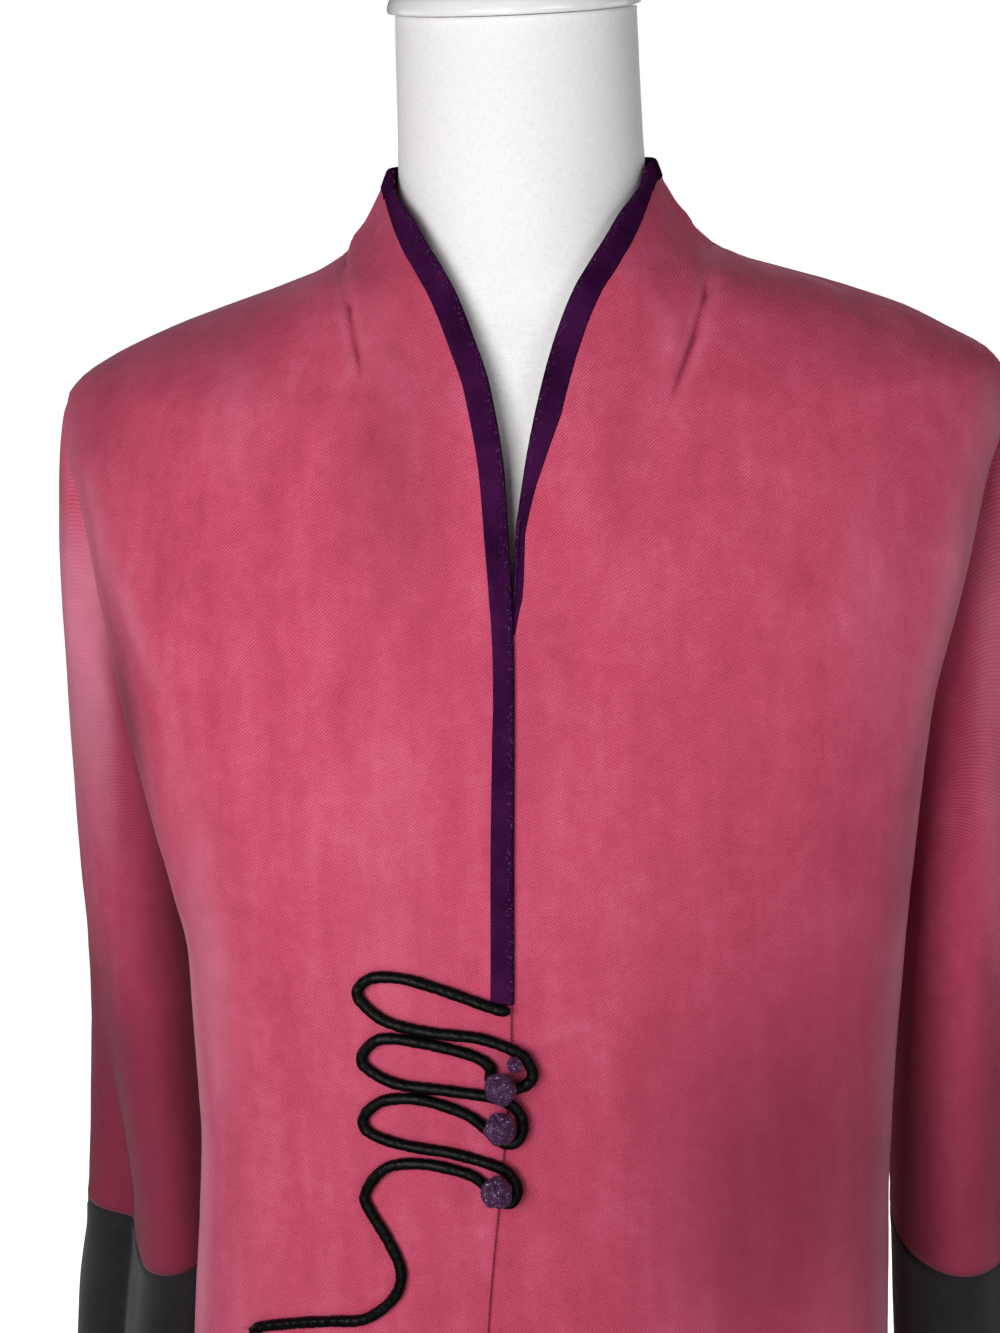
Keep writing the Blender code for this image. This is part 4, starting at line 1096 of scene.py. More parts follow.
# ---------------------------------------------------------------- fronts
FRONT_COLUMNS = 168
LEVEL_STEP = 0.0033
for side in ("right", "left"):
    sign = 1.0 if side == "left" else -1.0
    levels = level_list(LEVEL_STEP)
    angle = np.zeros((len(levels), FRONT_COLUMNS + 1))
    s_edge = np.zeros_like(angle)
    width = np.zeros(len(levels))
    for i, h in enumerate(levels):
        start = float(x_angle(EDGE[side + "_front"](float(h)), h))
        end = armhole_angles(float(h))[0] - 0.05
        angle[i], s_edge[i], width[i] = dart_angles(side, start, sign * end, h, FRONT_COLUMNS)
    hh = np.broadcast_to(levels[:, None], angle.shape)
    hh = hh - corner_drop(s_edge, hh)
    base = skin(angle, hh)
    lift, wear_and_sheen = relief(base)
    # rolled where it meets its neighbour at the side, shoulder and armhole
    s_end = width[:, None] - s_edge
    lift = lift - 0.0009 * np.exp(-(s_end / 0.0016) ** 2)
    if side == "left":
        lift = lift - tucked(base)
    n = skin_normal(angle, hh)
    points = base + n * lift[..., None]
    # the nap is paler along the fold over the arm, most below the shoulder: rubbed wear with a painted sheen highlight
    arm = soft((-0.050 - hh) / 0.03) * soft((hh + 0.34) / 0.10)
    fold = np.exp(-((np.abs(angle) - 78.0) / 11.0) ** 2) * arm
    wear_and_sheen = np.maximum(wear_and_sheen, (0.55 if side == "left" else 0.28) * fold)
    # paler again along the side fold lower down: rubbed wear with a painted sheen highlight
    low_fold = np.exp(-((np.abs(angle) - 76.0) / 10.0) ** 2) * soft((-0.25 - hh) / 0.07) * soft((hh + 0.62) / 0.12)
    wear_and_sheen = np.maximum(wear_and_sheen, 0.75 * low_fold)
    # listed paler places: painted sheen highlights with rubbed wear
    for x0, h0, rx, rh, amount in WEAR_AND_SHEEN_PLACES:
        wear_and_sheen = np.maximum(wear_and_sheen, amount * np.exp(-((base[..., 0] * 1000 - x0) / rx) ** 2 - ((hh * 1000 - h0) / rh) ** 2))
    # painted shade: broad darker places where less light falls on the front
    painted_shade_patches = np.zeros_like(wear_and_sheen)
    for x0, h0, rx, rh, amount in PAINTED_SHADE_PLACES:
        painted_shade_patches = np.maximum(painted_shade_patches, amount * np.exp(-((base[..., 0] * 1000 - x0) / rx) ** 2 - ((hh * 1000 - h0) / rh) ** 2))
    # a faint paler band down the lower sides: painted sheen with rubbed wear
    wear_and_sheen = np.maximum(wear_and_sheen, 0.16 * soft((-0.30 - hh) / 0.2) * np.exp(-((np.abs(angle) - 66.0) / 14.0) ** 2))
    # painted shade along the panel's edge where it meets the sleeve, and a painted shadow line along each dart's seam
    deep = 0.8 * np.exp(-((s_end) / 0.006) ** 2) * arm
    deep = np.maximum(np.maximum(deep, painted_shade_patches), dart_line(base))
    # the cloth lies flatter under the binding at the collar's tip
    points = points - n * (0.0008 * np.exp(-(s_edge / 0.0088) ** 6) * soft((hh - 0.014) / 0.012))[..., None]
    zero = np.argmin(np.abs(levels - 0.0))
    across = sign * (s_edge + np.abs(np.array([EDGE[side + "_front"](float(h)) for h in levels]))[:, None]
                     * np.sign(sign * np.array([EDGE[side + "_front"](float(h)) for h in levels]))[:, None])
    uvs = np.stack([across, hh], -1)
    obj = grid_mesh("front_" + side, points, uvs, TWILL, ["front_" + side], wall=WALL,
                    values={"wear_and_sheen": wear_and_sheen, "deep": deep}, outward=1.0 if side == "left" else -1.0)
    AREAS[obj.name] = (sheet_area(obj), float(width.max()), 0.0)

# ---------------------------------------------------------------- back
BACK_GRID = 190
levels = level_list(LEVEL_STEP)
angle = np.zeros((len(levels), BACK_GRID + 1))
s_mid = np.zeros_like(angle)
width = np.zeros(len(levels))
for i, h in enumerate(levels):
    start = armhole_angles(float(h))[1] + 0.05
    angle[i], width[i] = even_angles(start, 360.0 - start, h, BACK_GRID)
    s_mid[i] = np.linspace(-width[i] / 2, width[i] / 2, BACK_GRID + 1)
hh = np.broadcast_to(levels[:, None], angle.shape)
base = skin(angle, hh)
lift, wear_and_sheen = relief(base)
s_end = width[:, None] / 2 - np.abs(s_mid)
lift = lift - 0.0009 * np.exp(-(s_end / 0.0016) ** 2)
points = base + skin_normal(angle, hh) * lift[..., None]
arm = soft((-0.050 - hh) / 0.03) * soft((hh + 0.34) / 0.10)
# paler band in from the armhole: rubbed wear with a painted sheen highlight
wear_and_sheen = np.maximum(wear_and_sheen, 0.24 * arm * np.exp(-((s_end - 0.026) / 0.014) ** 2))
# painted shade along the back's edge at the armhole, where the sleeve joins
deep = 0.7 * np.exp(-(s_end / 0.007) ** 2) * arm
obj = grid_mesh("back", points, np.stack([s_mid, hh], -1), TWILL, ["back"], wall=WALL,
                values={"wear_and_sheen": wear_and_sheen, "deep": deep}, outward=1.0)
AREAS["back"] = (sheet_area(obj), float(width.max()), 0.0)


# ---------------------------------------------------------------- edge binding
# Cross-section of the folded strip round a raw edge: how far in from the
# edge, and how high over the cloth's outer side, in millimetres.
BINDING_PROFILE = (
    (10.1, 0.02), (9.9, 0.30), (9.3, 0.50), (7.6, 0.66), (5.2, 0.74), (2.8, 0.78), (1.0, 0.70),
    (-0.10, 0.45), (-0.60, -0.10), (-0.75, -0.80), (-0.45, -1.50), (0.60, -1.95), (3.0, -2.10),
    (6.0, -2.02), (8.6, -1.90),
)


def binding_strip(name, centre, inward, rise, widths, node, side_value=1.0):
    """Sweeps the cross-section along the edge."""
    count = len(centre)
    rise = [1.0] * count if rise is None else rise
    rows = []
    for i in range(count):
        row = []
        w = widths[i]
        for s, z in BINDING_PROFILE:
            q = s / 10.0 * w * 1000 if s > 1.0 else s
            row.append(centre[i] + inward[i](q / 1000, (z if z < 0.0 else z * rise[i]) / 1000))
        rows.append(row)
    points = np.array(rows)
    across, down = run_lengths(points)
    # where the painted glints fall: mostly along the folded outer edge, a few at the inner border
    rim = np.array([[math.exp(-((s - 0.2) / 1.6) ** 2) + 0.25 * math.exp(-((s - 9.4) / 0.6) ** 2)
                     for s, z in BINDING_PROFILE]] * count)
    obj = grid_mesh(name, points, np.stack([across, down], -1), SATIN, [node],
                    wall=0.00045, values={"rim": rim}, outward=side_value)
    AREAS[obj.name] = (sheet_area(obj), float(across.max()), float(down.max()))
    return obj


def edge_frame(side, h):
    """A function that gives offsets from an edge's point along the cloth."""
    sign = 1.0 if side == "left" else -1.0
    start = float(x_angle(EDGE[side + "_front"](float(h)), h))
    step = np.linalg.norm(skin(start + 0.5, h) - skin(start - 0.5, h))

    def at(q, z):
        qq = q / slant
        a = start + sign * qq / step
        hq = h - corner_drop(max(0.0, qq), h)
        p = skin(a, hq)
        n = skin_normal(np.array(a), np.array(hq))
        r, _ = relief(p)
        if side == "left":
            r = r - tucked(p)
        return p + n * (r + z)

    top, low = min(h + 0.0015, TOP), min(h + 0.0015, TOP) - 0.003
    edge = EDGE[side + "_front"]
    along = skin(x_angle(edge(top), top), top) - skin(x_angle(edge(low), low), low)
    along /= np.linalg.norm(along)
    cross = skin(start + 0.5, h) - skin(start - 0.5, h)
    cross /= np.linalg.norm(cross)
    slant = max(0.35, math.sqrt(max(0.0, 1.0 - float(along @ cross) ** 2)))
    return at


for side in ("right", "left"):
    sign = 1.0 if side == "left" else -1.0
    low = -0.3150 if side == "right" else -0.152
    hs = np.concatenate([np.linspace(low, TOP - 0.012, 200 if side == "right" else 110),
                         np.linspace(TOP - 0.0108, TOP, 10)])
    centre, frames, widths = [], [], []
    for h in hs:
        at = edge_frame(side, float(h))
        frames.append(at)
        centre.append(np.zeros(3))
        widths.append(binding_width(side, float(h)))
    rise = [1.0 if side == "right" else 0.30 + 0.70 * float(soft((h + 0.112) / 0.03)) for h in hs]
    obj = binding_strip("binding_" + side, centre, frames, rise, widths, "binding_" + side,
                        side_value=-1.0 if side == "left" else 1.0)
    length = AREAS[obj.name][2]

angles = np.concatenate([np.linspace(64.5, 90.0, 22)[:-1], np.linspace(90.0, 270.0, 130), np.linspace(270.0, 295.5, 22)[1:]])
centre, frames, widths = [], [], []
START_TOP = {1: abs(float(x_angle(EDGE["left_front"](TOP), TOP))), -1: abs(float(x_angle(EDGE["right_front"](TOP), TOP)))}
angles = np.concatenate([np.linspace(START_TOP[1] + 0.3, 90.0, 22)[:-1], np.linspace(90.0, 270.0, 130),
                         np.linspace(270.0, 359.7 - START_TOP[-1], 22)[1:]])
for a in angles:
    def at(q, z, a=float(a)):
        short = a if a <= 180 else 360 - a
        begin = START_TOP[1] if a <= 180 else START_TOP[-1]
        step = np.linalg.norm(skin(a + 0.5, TOP) - skin(a - 0.5, TOP))
        s = max(0.0, (short - begin) * step)
        h0 = TOP - corner_drop(s, TOP) if short < 100 else TOP
        h = float(h0) - q
        hc = min(h, 0.0455)
        p = skin(a, hc)
        n = skin_normal(np.array(a), np.array(hc))
        r, _ = relief(p)
        return p + n * (r + z)
    frames.append(at)
    centre.append(np.zeros(3))
    widths.append(BINDING_WIDTH * 0.8)
obj = binding_strip("binding_back", centre, frames, None, widths, "binding_back", side_value=1.0)


# ---------------------------------------------------------------- sleeves
SLEEVE_CREASES = {
    # places as share of the way round (0 outer side, 6 front, 12 inner, 18
    # back) and height in millimetres; width, depth, paleness from wear and painted sheen
    "right": (
        (((2.6, -75), (3.1, -200), (3.2, -330)), 13.0, 1.8, 0.35),
        (((0.6, -66), (1.0, -160), (1.6, -260)), 12.0, -1.5, 0.00),
        (((5.4, -300), (3.6, -342), (1.0, -362)), 10.0, -2.2, 0.00),
        (((6.0, -346), (4.2, -376), (1.6, -396)), 8.0, -1.5, 0.00),
        (((22.5, -120), (22.0, -250), (22.8, -400)), 13.0, 1.7, 0.20),
        (((20.0, -180), (19.4, -300), (20.2, -430)), 14.0, -1.6, 0.00),
        (((17.0, -250), (15.4, -330), (16.8, -420)), 12.0, 1.5, 0.15),
        (((21.6, -330), (18.4, -352), (15.8, -340)), 9.0, -1.8, 0.00),
        (((4.4, -400), (4.3, -470), (4.5, -600)), 8.0, 1.2, 0.75),
        (((0.7, -420), (0.8, -520), (0.4, -640)), 11.0, 1.5, 0.20),
    ),
    "left": (
        (((2.0, -72), (2.6, -190), (3.0, -300)), 12.0, 1.6, 0.35),
        (((4.0, -150), (4.3, -260), (3.8, -360)), 9.0, 1.5, 0.42),
        (((0.4, -70), (0.9, -170), (1.4, -280)), 12.0, -1.4, 0.00),
        (((5.8, -310), (3.8, -350), (1.4, -366)), 10.0, -2.0, 0.00),
        (((5.6, -372), (3.4, -398), (0.8, -404)), 8.0, -1.3, 0.00),
        (((22.0, -130), (21.6, -260), (22.4, -410)), 13.0, 1.8, 0.20),
        (((19.6, -190), (19.0, -310), (19.8, -440)), 14.0, -1.7, 0.00),
        (((16.4, -260), (15.6, -340), (16.6, -430)), 12.0, 1.5, 0.15),
        (((21.0, -340), (18.0, -360), (15.4, -346)), 9.0, -1.7, 0.00),
        (((3.0, -420), (3.2, -500), (3.0, -640)), 10.0, 1.5, 0.25),
        (((1.0, -430), (0.6, -540), (0.8, -640)), 12.0, -1.4, 0.00),
    ),
}


def loop_point(side, k):
    """The armhole's loop at any place round it."""
    sign = 1.0 if side == "left" else -1.0
    k = k % 24.0
    i, which = (k, 0) if k <= 12.0 else (24.0 - k, 1)
    h = ARM_MID + (SHOULDER_TIP - ARM_MID) * math.cos(math.pi * i / ARM_STEPS)
    return body_point(sign * armhole_angles(h)[which], h)


def sleeve_point(side, k, t, loop, centre):
    """t from 0 at the armhole to 1 at the top of the level rings."""
    sign = 1.0 if side == "left" else -1.0
    a = loop
    a = a + (centre - a).normalized() * 3 * SEAM + Vector((sign * 0.0010, 0, 0))
    b = sleeve_section(side, SLEEVE_TUBE, k)
    m = Vector((a.x + (b.x - a.x) * 0.78, a.y + (b.y - a.y) * 0.50, a.z + (b.z - a.z) * 0.10))
    top = max(0.0, math.cos(2 * math.pi * k / (2 * ARM_STEPS)))
    m.x += math.copysign(0.006 * top, a.x)
    return a * (1 - t) ** 2 + m * 2 * t * (1 - t) + b * t ** 2


AROUND = 120
for side in ("right", "left"):
    sign = 1.0 if side == "left" else -1.0
    ks = np.arange(AROUND) * 24.0 / AROUND
    loops = [loop_point(side, float(k)) for k in ks]
    coarse = [loop_point(side, float(k)) for k in range(24)]
    centre = sum(coarse, Vector()) / 24
    rows, heights = [], []
    shares = [i / 62 for i in range(63)]
    for t in shares:
        rows.append([sleeve_point(side, float(k), t, loops[j], centre) for j, k in enumerate(ks)])
    down_h = list(np.linspace(SLEEVE_TUBE - 0.0035, BAND_TOP + 0.0001, 46))
    for h in down_h:
        rows.append([sleeve_section(side, float(h), float(k)) for k in ks])
    points = np.array(rows, float)
    band_h = list(np.linspace(BAND_TOP - 0.0001, CUFF_END, 46))
    band = np.array([[sleeve_section(side, float(h), float(k)) for k in ks] for h in band_h], float)

    def outer_normals(p):
        across = np.roll(p, -1, axis=1) - np.roll(p, 1, axis=1)
        down = np.gradient(p, axis=0)
        n = np.cross(across, down)
        n /= np.linalg.norm(n, axis=-1, keepdims=True) + 1e-12
        mid = p.mean(axis=1, keepdims=True)
        turn = np.sign(((p - mid) * n).sum(-1).mean())
        return n * turn

    whole = np.concatenate([points, band], 0)
    n = outer_normals(whole)
    ways = []
    for places, width_mm, depth, pale in SLEEVE_CREASES[side]:
        way = []
        for k, hmm in places:
            z = NECK_POINT + hmm / 1000
            j = int(round(k / 24.0 * AROUND)) % AROUND
            i = int(np.argmin(np.abs(whole[:, j, 2] - z)))
            way.append(whole[i, j])
        ways.append((np.array(way), width_mm / 1000, depth / 1000, pale))
    lift = np.zeros(whole.shape[:2])
    wear_and_sheen = np.zeros(whole.shape[:2])
    for way, wide, depth, pale in ways:
        gap, t = way_distance(whole, way)
        bell = np.exp(-(gap / wide) ** 2) * np.sin(math.pi * np.clip(t * 0.94 + 0.03, 0, 1)) ** 0.7
        lift += depth * bell
        wear_and_sheen = np.maximum(wear_and_sheen, pale * bell)
    top_calm = np.ones(whole.shape[:2])
    top_calm[:63] = soft(np.array(shares) / 0.12)[:, None]
    inner = 0.25 + 0.75 * soft((np.abs(whole[..., 0]) - 0.165) / 0.03)
    lift = (lift + 0.0007 * ripple(whole, (8.0, 8.0, 5.0), 21 if side == "left" else 22)
            + 0.00025 * ripple(whole, (27.0, 27.0, 16.0), 24)) * top_calm * inner
    lift[:63] -= 0.0009 * np.exp(-(np.array(shares) * 0.28 / 0.0022) ** 2)[:, None]
    # both cloths turn in at the band's seam
    seam_row = len(points)
    distance = np.abs(np.arange(len(whole)) - (seam_row - 0.5))
    gap_m = np.where(np.arange(len(whole)) < seam_row, (seam_row - 0.5 - np.arange(len(whole))) * 0.0035,
                     (np.arange(len(whole)) - seam_row + 0.5) * 0.0035)
    lift -= 0.0008 * np.exp(-(gap_m / 0.0026) ** 2)[:, None]
    lift += 0.0004 * np.exp(-((gap_m - 0.006) / 0.0035) ** 2)[:, None]
    whole = whole + n * lift[..., None]
    # the ridge of the long fold is paler: rubbed wear with a painted sheen highlight
    theta = ks / 24.0 * 360.0
    fold_amount = np.array([SLEEVE[side]["fold"](float(h)) for h in
                            list(np.full(63, SLEEVE_TUBE)) + down_h + band_h])
    ridge = np.exp(-((theta - (FOLD_PLACE + 26.0)) / 6.0) ** 2)[None, :] * soft(fold_amount / 0.3)[:, None]
    wear_and_sheen = np.maximum(wear_and_sheen, 0.8 * ridge)
    # painted shade in the long fold's hollow and round the sleeve's top at the armhole seam
    deep = np.exp(-((theta - FOLD_PLACE) / 8.0) ** 2)[None, :] * soft((fold_amount - 0.1) / 0.35)[:, None]
    deep[:63] = np.maximum(deep[:63], 0.9 * np.exp(-(np.array(shares) * 0.28 / 0.010) ** 2)[:, None])
    # painted shade: the sleeves darken towards the cuff, most on the side that hangs against the body, and are paler
    # less there
    near = np.exp(-((theta - 115.0) / 62.0) ** 2)
    down = soft((NECK_POINT - 0.22 - whole[..., 2]) / 0.26)
    deep = np.maximum(deep, (0.40 + 0.45 * near)[None, :] * down)
    deep = np.maximum(deep, 0.70 * near[None, :] * soft((NECK_POINT - 0.16 - whole[..., 2]) / 0.06) * (0.4 if side == "left" else 1.0))
    wear_and_sheen = wear_and_sheen * (1.0 - 0.6 * near)[None, :]
    wide, high = np.abs(whole[..., 0]), whole[..., 2] - NECK_POINT
    # painted shadow of the body's edge on the right sleeve, and painted shade deepening towards its cuff
    if side == "right":
        body_edge = np.interp(-high, [0.158, 0.385, 0.55], [0.199, 0.170, 0.163])
        beside = np.exp(-(np.maximum(0.0, wide - body_edge) / 0.014) ** 2) * soft((-0.13 - high) / 0.07)
        deep = np.maximum(deep, 0.90 * beside)
        deep = np.maximum(deep, 0.90 * soft((-0.25 - high) / 0.15))
    # paler strip on the sleeve just outside the body's edge: painted sheen highlight with rubbed wear
    wear_and_sheen = np.maximum(wear_and_sheen, (0.70 if side == "right" else 0.30) * soft((wide - 0.199) / 0.011)
                      * soft((-0.09 - high) / 0.06) * soft((high + 0.31) / 0.10))
    girth = 0.375
    ulist = np.broadcast_to(np.linspace(0, girth, AROUND + 1)[None, :], (len(whole), AROUND + 1))
    mid_down = np.concatenate([[0], np.cumsum(np.linalg.norm(np.diff(whole.mean(axis=1), axis=0), axis=1))])
    vlist = np.broadcast_to(-mid_down[:, None], ulist.shape)
    uvs = np.stack([ulist, vlist], -1)
    out = 1.0 if side == "right" else -1.0
    sleeve = grid_mesh("sleeve_" + side, whole[:seam_row], uvs[:seam_row], TWILL,
                       ["sleeve_" + side], ring=True, wall=WALL,
                       values={"wear_and_sheen": wear_and_sheen[:seam_row], "deep": deep[:seam_row]}, outward=out)
    AREAS[sleeve.name] = (sheet_area(sleeve), girth, float(mid_down[seam_row]))
    cuff = grid_mesh("cuff_band_" + side, whole[seam_row:], uvs[seam_row:], SUEDE,
                     ["cuff_band_" + side], ring=True, wall=WALL,
                     values={"wear_and_sheen": wear_and_sheen[seam_row:] * 0.8}, outward=out)
    AREAS[cuff.name] = (sheet_area(cuff), girth, 0.158)


# ---------------------------------------------------------------- cord
def tube(name, way, radius, finish, nodes, sides=14, squash=1.0, normals=None, swell=None):
    """A round strand along a way; radius may vary along it."""
    way = np.asarray(way, float)
    count = len(way)
    tangent = np.gradient(way, axis=0)
    tangent /= np.linalg.norm(tangent, axis=1, keepdims=True)
    if normals is None:
        up = np.array([0.0, 0.0, 1.0]) if abs(tangent[0][2]) < 0.9 else np.array([1.0, 0.0, 0.0])
        frames = []
        n = up - tangent[0] * (up @ tangent[0])
        n /= np.linalg.norm(n)
        for i in range(count):
            n = n - tangent[i] * (n @ tangent[i])
            n /= np.linalg.norm(n)
            frames.append(n)
        normals = np.array(frames)
    side_way = np.cross(tangent, normals)
    theta = np.arange(sides) * 2 * math.pi / sides
    r = np.broadcast_to(np.asarray(radius, float), (count,))[:, None]
    if swell is not None:
        r = r * swell
    ring = (way[:, None, :] + (np.cos(theta)[None, :] * r * squash)[..., None] * normals[:, None, :]
            + (np.sin(theta)[None, :] * r)[..., None] * side_way[:, None, :])
    run = np.concatenate([[0], np.cumsum(np.linalg.norm(np.diff(way, axis=0), axis=1))])
    u = np.broadcast_to(np.linspace(0, 2 * math.pi * float(np.max(radius)), sides + 1)[None, :], (count, sides + 1))
    v = np.broadcast_to(run[:, None], (count, sides + 1))
    obj = grid_mesh(name, ring, np.stack([u, v], -1), finish, nodes, ring=True, outward=1.0, caps=True)
    return obj, run[-1]


CORD_SEEN = 0.00262       # satin tube with its soft filling, as it swells between stitches


def fine_route():
    pts = [Vector((x / 1000, h / 1000)) for x, h in CORD_ROWS]
    return np.array([(p.x, p.y) for p in catmull(pts, 0.0009)])


def on_body(x, h, lift):
    a = x_angle(x, h)
    return dress(a, h, lift)


route = fine_route()
base, normal, _ = on_body(route[:, 0], route[:, 1], np.full(len(route), CORD_SEEN + 0.0001))
rng = np.random.default_rng(5)
count = len(route)
run = np.arange(count) * 0.0009
swell = 1.0 + 0.030 * np.sin(run * 2 * math.pi / 0.0135 + 2.0 * np.sin(run * 60)) + 0.020 * np.sin(run * 2 * math.pi / 0.0051 + 1.0)
swell = np.broadcast_to(swell[:, None], (count, 16)).copy()
theta = np.arange(16) * 2 * math.pi / 16
swell *= 1.0 + 0.022 * np.sin(theta[None, :] * 1.0 + run[:, None] * 2 * math.pi / 0.0042)
ends = np.minimum(1.0, 0.55 + 0.45 * soft(run / 0.0030))
swell *= ends[:, None]
tail = soft((run[-1] - run) / 0.0040)
swell *= (0.62 + 0.38 * tail)[:, None]
cord, cord_length = tube("frog_cord", base, CORD_SEEN, CORD, ["frog_cord"], sides=16,
                         squash=0.97, normals=normal, swell=swell)
# frayed threads at its free end
end, before = base[-1], base[-6]
forward = (end - before) / np.linalg.norm(end - before)
strands = []
for i in range(9):
    spread_way = rng.normal(size=3) * 0.5
    spread_way -= normal[-1] * (spread_way @ normal[-1]) * 0.6
    length = rng.uniform(0.0022, 0.0046)
    way = np.array([end - forward * 0.0018 + (forward + spread_way * (j / 7) * 0.9) * length * (j / 7)
                    + spread_way * 0.0006 + normal[-1] * (-0.0006 * j / 7) for j in range(8)])
    strand, _ = tube("cord_thread_%d" % i, way, np.linspace(0.00016, 0.00008, 8), CORD, [], sides=6)
    strands.append(strand)
for strand in strands:
    strand.parent = cord


# ---------------------------------------------------------------- knot buttons
def knot_way(radius, strand, leads=3, bights=4, steps=420, wobble=0.0):
    """Centre line of a Turk's head knot on a ball."""
    t = np.arange(steps + 1) / steps * 2 * math.pi
    lon = leads * t + wobble
    lat = np.radians(60.0) * np.cos(bights * t)
    r = radius - strand * 1.05 + 0.16 * strand * np.sin(2 * bights * t)
    return np.stack([r * np.cos(lat) * np.cos(lon), r * np.cos(lat) * np.sin(lon), r * np.sin(lat)], -1)


def ball_grid(radius, rows=26, cols=36, bumpy=0.0, seed=1):
    lat = np.linspace(math.pi / 2 - 0.02, -math.pi / 2 + 0.02, rows)
    lon = np.arange(cols) * 2 * math.pi / cols
    p = np.stack([np.cos(lat)[:, None] * np.cos(lon)[None, :], np.cos(lat)[:, None] * np.sin(lon)[None, :],
                  np.broadcast_to(np.sin(lat)[:, None], (rows, cols))], -1)
    return p * (radius * (1 + bumpy * ripple(p, (1.2, 1.2, 1.2), seed)))[..., None]


def ball_knot(name, x_mm, h_mm, middle, radius, spin, node, stem=True, strand_share=0.34):
    x, h = x_mm / 1000, h_mm / 1000
    p0, n0, _ = on_body(np.array(x), np.array(h), np.array(0.0))
    z = n0 / np.linalg.norm(n0)
    xa = np.cross(np.array([0.0, 0.0, 1.0]), z)
    xa /= np.linalg.norm(xa)
    ya = np.cross(z, xa)
    turn = math.radians(spin)
    # the knot leans so that its crossings face forward
    tilt = math.radians(62.0)
    z2 = z * math.cos(tilt) + ya * math.sin(tilt)
    y2 = ya * math.cos(tilt) - z * math.sin(tilt)
    x3 = xa * math.cos(turn) + y2 * math.sin(turn)
    y3 = -xa * math.sin(turn) + y2 * math.cos(turn)
    centre_at = p0 + z * middle
    strand = radius * strand_share
    way = knot_way(radius, strand)
    world = centre_at + way[:, :1] * x3 + way[:, 1:2] * y3 + way[:, 2:] * z2
    core_points = ball_grid(radius - strand * 0.62, bumpy=0.02)
    shape = core_points.shape[:2]
    flat = core_points.reshape(-1, 3)
    core_world = (centre_at + flat[:, :1] * x3 + flat[:, 1:2] * y3 + flat[:, 2:] * z2).reshape(*shape, 3)
    lon = np.linspace(0, 2 * math.pi * radius, shape[1] + 1)
    lat = np.linspace(0, math.pi * radius, shape[0])
    uvs = np.stack(np.broadcast_arrays(lon[None, :], lat[:, None]), -1)
    core = grid_mesh(name + "_core", core_world, uvs, KNOT, [], ring=True, outward=1.0, caps=True)
    hull, _ = tube(name, world, strand, KNOT, [node], sides=12)
    core.parent = hull
    if stem:
        foot = p0 + z * CORD_GAP
        shaft = np.array([foot + (centre_at - z * (radius * 0.75) - foot) * t for t in np.linspace(0, 1, 8)])
        flare = STEM_RADIUS * (1.0 + 0.5 * np.exp(-np.linspace(0, 1, 8) / 0.15))
        leg, _ = tube(name + "_stem", shaft, flare, KNOT, [], sides=12)
        leg.parent = hull
    return hull


for number, (x, h) in enumerate(BUTTON_ROWS, 1):
    ball_knot("knot_button_%d" % number, x, h, BALL_HEIGHT, BALL_RADIUS, (20.0, 75.0, 140.0)[number - 1],
              "knot_button_%d" % number)
ball_knot("knot_knob", KNOB_PLACE[0], KNOB_PLACE[1], KNOB_PLACE[2] / 1000, KNOB_RADIUS, 35.0, "knot_knob", stem=True,
          strand_share=0.36)

# ---------------------------------------------------------------- dress form
FORM_AROUND = 128


def fine_form(h):
    half, front, back = (FORM[c](h) for c in ("half", "front", "back"))
    lean = math.tan(math.radians(CAP_TILT)) * smooth((h - 0.045) / 0.06)
    t = 2 * math.pi * np.arange(FORM_AROUND) / FORM_AROUND
    middle = (back - front) / 2 * smooth((h + 0.02) / 0.05)
    reach = np.where(np.cos(t) > 0, front + middle, back - middle)
    y = middle - reach * np.cos(t)
    return np.stack([half * np.sin(t), y, NECK_POINT + h + lean * y], -1)


form_h = np.concatenate([np.linspace(0.108, 0.02, 40), np.linspace(0.018, -0.06, 60)[0:], np.linspace(-0.066, -0.684, 120)])
points = np.array([fine_form(float(h)) for h in form_h])
points_n = points.copy()
wave = 0.00020 * ripple(points, (18.0, 18.0, 18.0), 40)
radial = points.copy()
radial[..., 2] = 0
radial /= np.linalg.norm(radial, axis=-1, keepdims=True) + 1e-9
points = points + radial * wave[..., None]
girth = np.linspace(0, 0.36, FORM_AROUND + 1)
drop = np.concatenate([[0], np.cumsum(np.linalg.norm(np.diff(points[:, 0], axis=0), axis=1))])
uvs = np.stack(np.broadcast_arrays(girth[None, :], -drop[:, None]), -1)
grid_mesh("form_torso", points, uvs, LINEN, ["form_torso"], ring=True, outward=1.0, caps=True)


